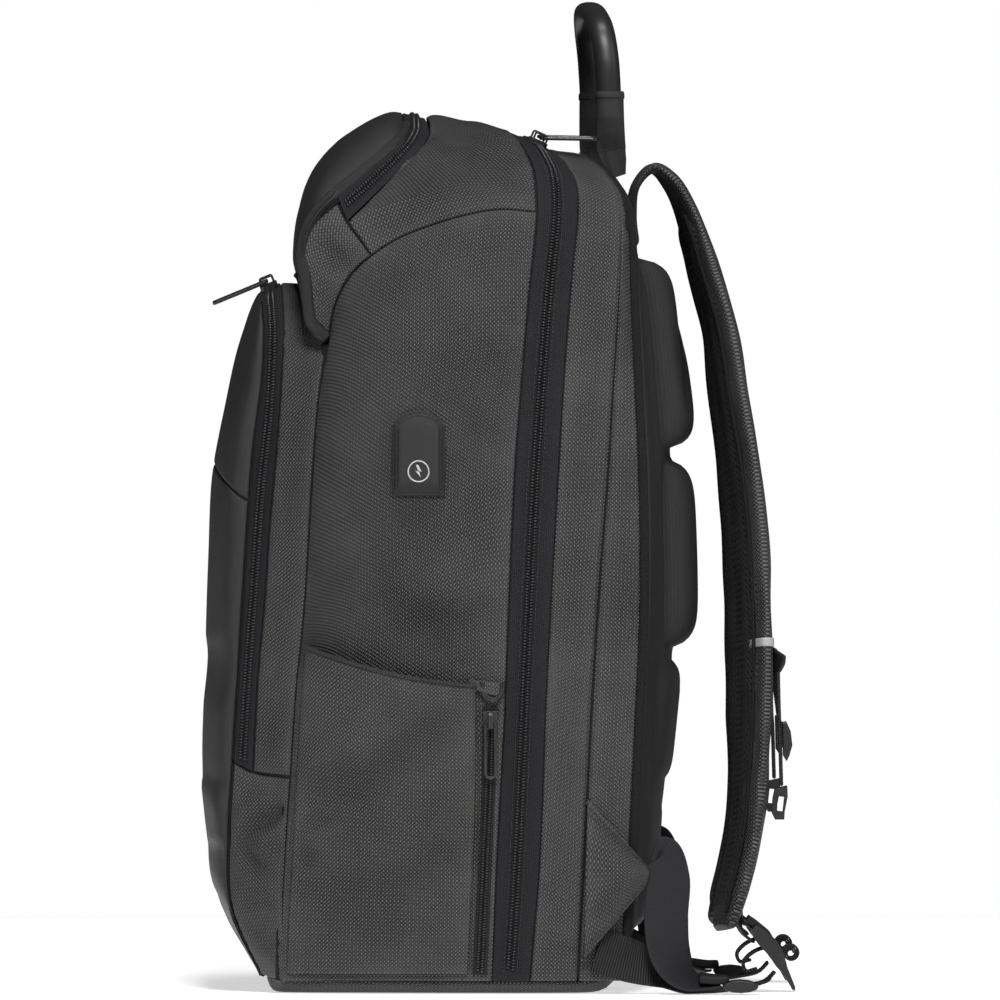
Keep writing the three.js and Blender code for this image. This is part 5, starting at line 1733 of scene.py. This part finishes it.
# The mesh facing covers the side towards the pack and wraps the strap's inner edge.
mesh_start, mesh_end = 8.3 / 28, 27.4 / 28
mesh_shift, mesh_share = 0.0032, 0.84
for hand, word in ((1, "right"), (-1, "left")):
    strap = band(
        f"shoulder_pad_{word}", carried(strap_rows, 220), strap_width, strap_depth, coarse_cloth,
        "coated_cloth", [f"shoulder_strap_{word}"], power=3.4, sides=40, ends=0.005,
        relief=strap_face, hand=hand,
    )
    middle, side, face, wide, thick = carried(strap_rows, 320, mesh_start, mesh_end)
    middle = middle - side * wide * mesh_shift
    facing = band(
        f"shoulder_facing_{word}", (middle, side, face, wide, thick), strap_width - 0.0052,
        strap_depth * mesh_share, spacer_mesh, "air_mesh", [f"strap_mesh_{word}"], power=3.0,
        sides=66, offset=strap_depth * (1 - mesh_share) / 2 + 0.0012, ends=0.012,
        relief=strap_mesh_face, hand=hand,
    )
    for edge, out_share, in_share in ((-1, 0.0006, 0.30), (1, -0.0060, 0.66)):
        rim = middle + side * edge * wide * (strap_width / 2 - 0.0026 + out_share)
        rim = rim + side * (mesh_shift if edge > 0 else 0) + face * thick * strap_depth * (in_share - 0.12)
        roll(
            f"shoulder_seam_{word}_{'inner' if edge < 0 else 'outer'}", rim * [hand, 1, 1],
            (face + side * edge * 0.6) * [hand, 1, 1], 0.0011, tape_cloth, "zip_tape", 0.9,
        )
    glow = carried(strap_rows, 6, 0.6905, 0.6985)
    band(
        f"reflective_band_{word}", glow, strap_width + 0.0006, strap_depth + 0.0006,
        reflective_tape, "coated_cloth", power=3.4, sides=48, hand=hand,
    )

# --- The straps' lower ends ----------------------------------------------------------------------
# A doubled web sewn to the pad's end holds the ladder lock, a curved plastic adjuster. The ribbed
# web, 25 mm wide, comes from under the wing, lies along the floor and threads through the lock,
# and its free end is rolled up.
web_width, web_depth = 0.025, 0.0016
end_web_rows = {
    "upper": [
        [0.6, 1.2215, 0.128, -17],
        [0.602, 1.226, 0.1, -14],
        [0.607, 1.239, 0.082, -6],
        [0.614, 1.2565, 0.0755, 0],
    ],
    "lower": [
        [0.602, 1.224, 0.104, -14],
        [0.606, 1.232, 0.078, -6],
        [0.611, 1.2445, 0.0655, -2],
        [0.614, 1.268, 0.056, 0],
    ],
}


def ribs(right, gone):
    """Ribs across the web: a sine of the length along it."""
    return 0.0002 * np.abs(np.sin(gone * np.pi / 0.0015))


low_web_rows = [
    [0.938, 0.9, 0.05, 90],
    [0.926, 0.965, 0.04, 82],
    [0.87, 1.05, 0.0265, 42],
    [0.8, 1.12, 0.0095, 10],
    [0.72, 1.2, 0.005, 0],
    [0.64, 1.262, 0.0085, 0],
    [0.616, 1.297, 0.014, 0],
    [0.615, 1.3165, 0.0234, 0],
]
web_tail_rows = [
    [0.615, 1.318, 0.046, 0],
    [0.615, 1.293, 0.05, 0],
    [0.613, 1.262, 0.044, 0],
    [0.612, 1.243, 0.033, 0],
    [0.614, 1.25, 0.024, 0],
    [0.616, 1.274, 0.026, 0],
]
roll_turn = np.linspace(0, 2.6 * 2 * np.pi, 150)
roll_radius = 0.0016 + 0.00042 * roll_turn / 2
roll_middle = place([0.615, 1.353, 0.0445])
belt_webbing = ribbed(
    "belt_webbing", (0.004, 0.0038, 0.0045), (0.013, 0.0125, 0.014), 0.0007, 0.0, 0.62, 0.00006
)
for hand, word in ((1, "right"), (-1, "left")):
    for run, rows in end_web_rows.items():
        band(
            f"end_web_{run}_{word}", carried(rows, 60), web_width, web_depth, belt_webbing,
            "smooth_webbing", power=8, sides=20, ends=0.0006, hand=hand,
        )
    band(
        f"floor_web_{word}", carried(low_web_rows, 400), web_width, web_depth, strap_webbing,
        "ribbed_webbing", [f"low_web_{word}"], power=8, sides=20, ends=0.0006, relief=ribs, hand=hand,
    )
    band(
        f"web_tail_{word}", carried(web_tail_rows, 200), web_width, web_depth, strap_webbing,
        "ribbed_webbing", power=8, sides=20, ends=0.0006, relief=ribs, hand=hand,
    )
    spiral = roll_middle + np.stack(
        [0 * roll_turn, roll_radius * np.cos(roll_turn), roll_radius * np.sin(roll_turn)], -1
    )
    spin = np.stack([0 * roll_turn, np.cos(roll_turn), np.sin(roll_turn)], -1)
    ones = np.ones((len(roll_turn), 1))
    level = np.tile([1.0, 0.0, 0.0], (len(roll_turn), 1))
    band(
        f"web_roll_{word}", (spiral, level, -spin, ones, ones), web_width, 0.0012, strap_webbing,
        "ribbed_webbing", power=8, sides=20, hand=hand,
    )

# --- The wings and the waist belt ----------------------------------------------------------------
# A double wing of coarse cloth covers each lower rear corner, its free edges hemmed with two
# rows of stitches. The smooth waist belt comes out of it, is folded over the wing's tip, hangs
# to the floor and ends in its buckle.
wing_front_rows = [[0.977, 0.868, 0.037], [0.986, 0.872, 0.13], [0.988, 0.877, 0.223]]
wing_rear_rows = [[0.985, 1.018, 0.126], [0.985, 1.023, 0.138], [0.985, 1.014, 0.147]]
wing_face = patch(curve(wing_front_rows), curve(wing_rear_rows))
wing_folds = folds([[0.9, 0.2, 0.99, 0.145, 1.52, 6], [0.89, 0.08, 0.98, 0.13, 1.52, 6]])
pair(
    "wing_cloth", wing_face, coarse_cloth, "coated_cloth", ["wing"], step=0.0016,
    relief=uneven(0.0005, 0.03, 16, wing_folds), wall=0.0026,
)
waist_rows = [
    [0.95, 1.028, 0.162, 90, 0.55],
    [0.953, 1.05, 0.158, 90, 0.9],
    [0.957, 1.064, 0.13, 86, 1],
    [0.962, 1.06, 0.085, 84, 1],
    [0.972, 1.07, 0.045, 66, 1],
    [0.975, 1.1, 0.022, 40, 1],
    [0.97, 1.145, 0.0115, 10, 1],
    [0.965, 1.1855, 0.0098, 0, 1],
]
belt_hem_rows = [[0.967, 1.135, 0.0195, 4], [0.966, 1.17, 0.0175, 2], [0.965, 1.205, 0.017, 0]]
for hand, word in ((1, "right"), (-1, "left")):
    side_of_wing = wing_face if hand > 0 else mirrored(wing_face)
    for number, inset in enumerate((0.045, 0.085)):
        for rim_word, low in (("upper", 1 - inset), ("lower", inset)):
            stitches(
                f"wing_stitches_{word}_{rim_word}_{number}",
                lambda u, v, base=side_of_wing: base(v, u), low, 0.04, 0.97, lift=0.0004,
            )
    band(
        f"waist_web_{word}", carried(waist_rows, 200), web_width, web_depth, belt_webbing,
        "smooth_webbing", [f"waist_belt_{word}"], power=8, sides=20, ends=0.0006, hand=hand,
    )
    band(
        f"waist_web_hem_{word}", carried(belt_hem_rows, 30), web_width - 0.001, 0.0052, belt_webbing,
        "smooth_webbing", power=6, sides=20, ends=0.0016, hand=hand,
    )

# --- Plastic and metal ---------------------------------------------------------------------------
# The ladder locks, buckles and glides are satin black nylon with soft moulded edges. The zip
# sliders and their long hollow pullers are black plated zinc.
moulded_nylon, tree, shader = bare_material("moulded_nylon", 0.36, specular=0.35)
tree.links.new(
    tint_node(tree, unevenness_node(tree, 120), (0.006, 0.006, 0.0063), (0.014, 0.014, 0.0144)),
    shader.inputs["Base Color"],
)
bumped(tree, shader, unevenness_node(tree, 900, 2), 0.00005, 0.6)
plated_zinc, tree, shader = bare_material("plated_zinc", 0.38, metallic=0.9)
tree.links.new(
    tint_node(tree, unevenness_node(tree, 200), (0.03, 0.03, 0.031), (0.06, 0.06, 0.0615)),
    shader.inputs["Base Color"],
)


def finished(node, paint, edge, segments=3):
    """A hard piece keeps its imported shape. Its loose faces are joined and its edges rounded."""
    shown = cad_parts[node]
    shown.data.materials.clear()
    shown.data.materials.append(paint)
    weld = shown.modifiers.new("joined", "WELD")
    weld.merge_threshold = 0.00002
    rounded = shown.modifiers.new("rounded", "BEVEL")
    rounded.width, rounded.segments = edge, segments
    rounded.limit_method, rounded.angle_limit = "ANGLE", math.radians(28)
    rounded.harden_normals = False


for word in ("right", "left"):
    finished(f"ladder_lock_{word}", moulded_nylon, 0.0007)
    finished(f"waist_buckle_{word}", moulded_nylon, 0.0011)
    finished(f"sternum_glide_{word}", moulded_nylon, 0.0006)
    finished(f"sternum_buckle_{word}", moulded_nylon, 0.0005)
for zip_end in ("pocket_zip_near", "pocket_zip_far", "main_zip_near", "main_zip_far", "side_zip_right"):
    finished(f"{zip_end}_slider", plated_zinc, 0.0003)
    finished(f"{zip_end}_puller", plated_zinc, 0.0005)

# --- The sternum straps --------------------------------------------------------------------------
# A narrow elastic web hangs from a folded tab on each shoulder strap, through a glide, and ends
# in one half of the buckle.
sternum_across = 0.65
sternum_rows = [
    [sternum_across, 1.3165, 0.372, -14],
    [sternum_across, 1.3205, 0.34, -8],
    [sternum_across, 1.3265, 0.3, 0],
    [sternum_across, 1.331, 0.2338, 0],
]
tab_rows = [
    [0.68, 1.3165, 0.388, -21, 1.5, 1],
    [0.67, 1.3185, 0.378, -21, 1.2, 1.3],
    [0.655, 1.3175, 0.366, -19, 0.6, 1.4],
]
for hand, word in ((1, "right"), (-1, "left")):
    band(
        f"chest_web_{word}", carried(sternum_rows, 180), 0.015, 0.0018, strap_webbing,
        "ribbed_webbing", [f"sternum_web_{word}"], power=8, sides=20, ends=0.0006, relief=ribs, hand=hand,
    )
    band(
        f"chest_web_tab_{word}", carried(tab_rows, 40), 0.018, 0.0026, belt_webbing,
        "smooth_webbing", power=5, sides=20, ends=0.0008, hand=hand,
    )
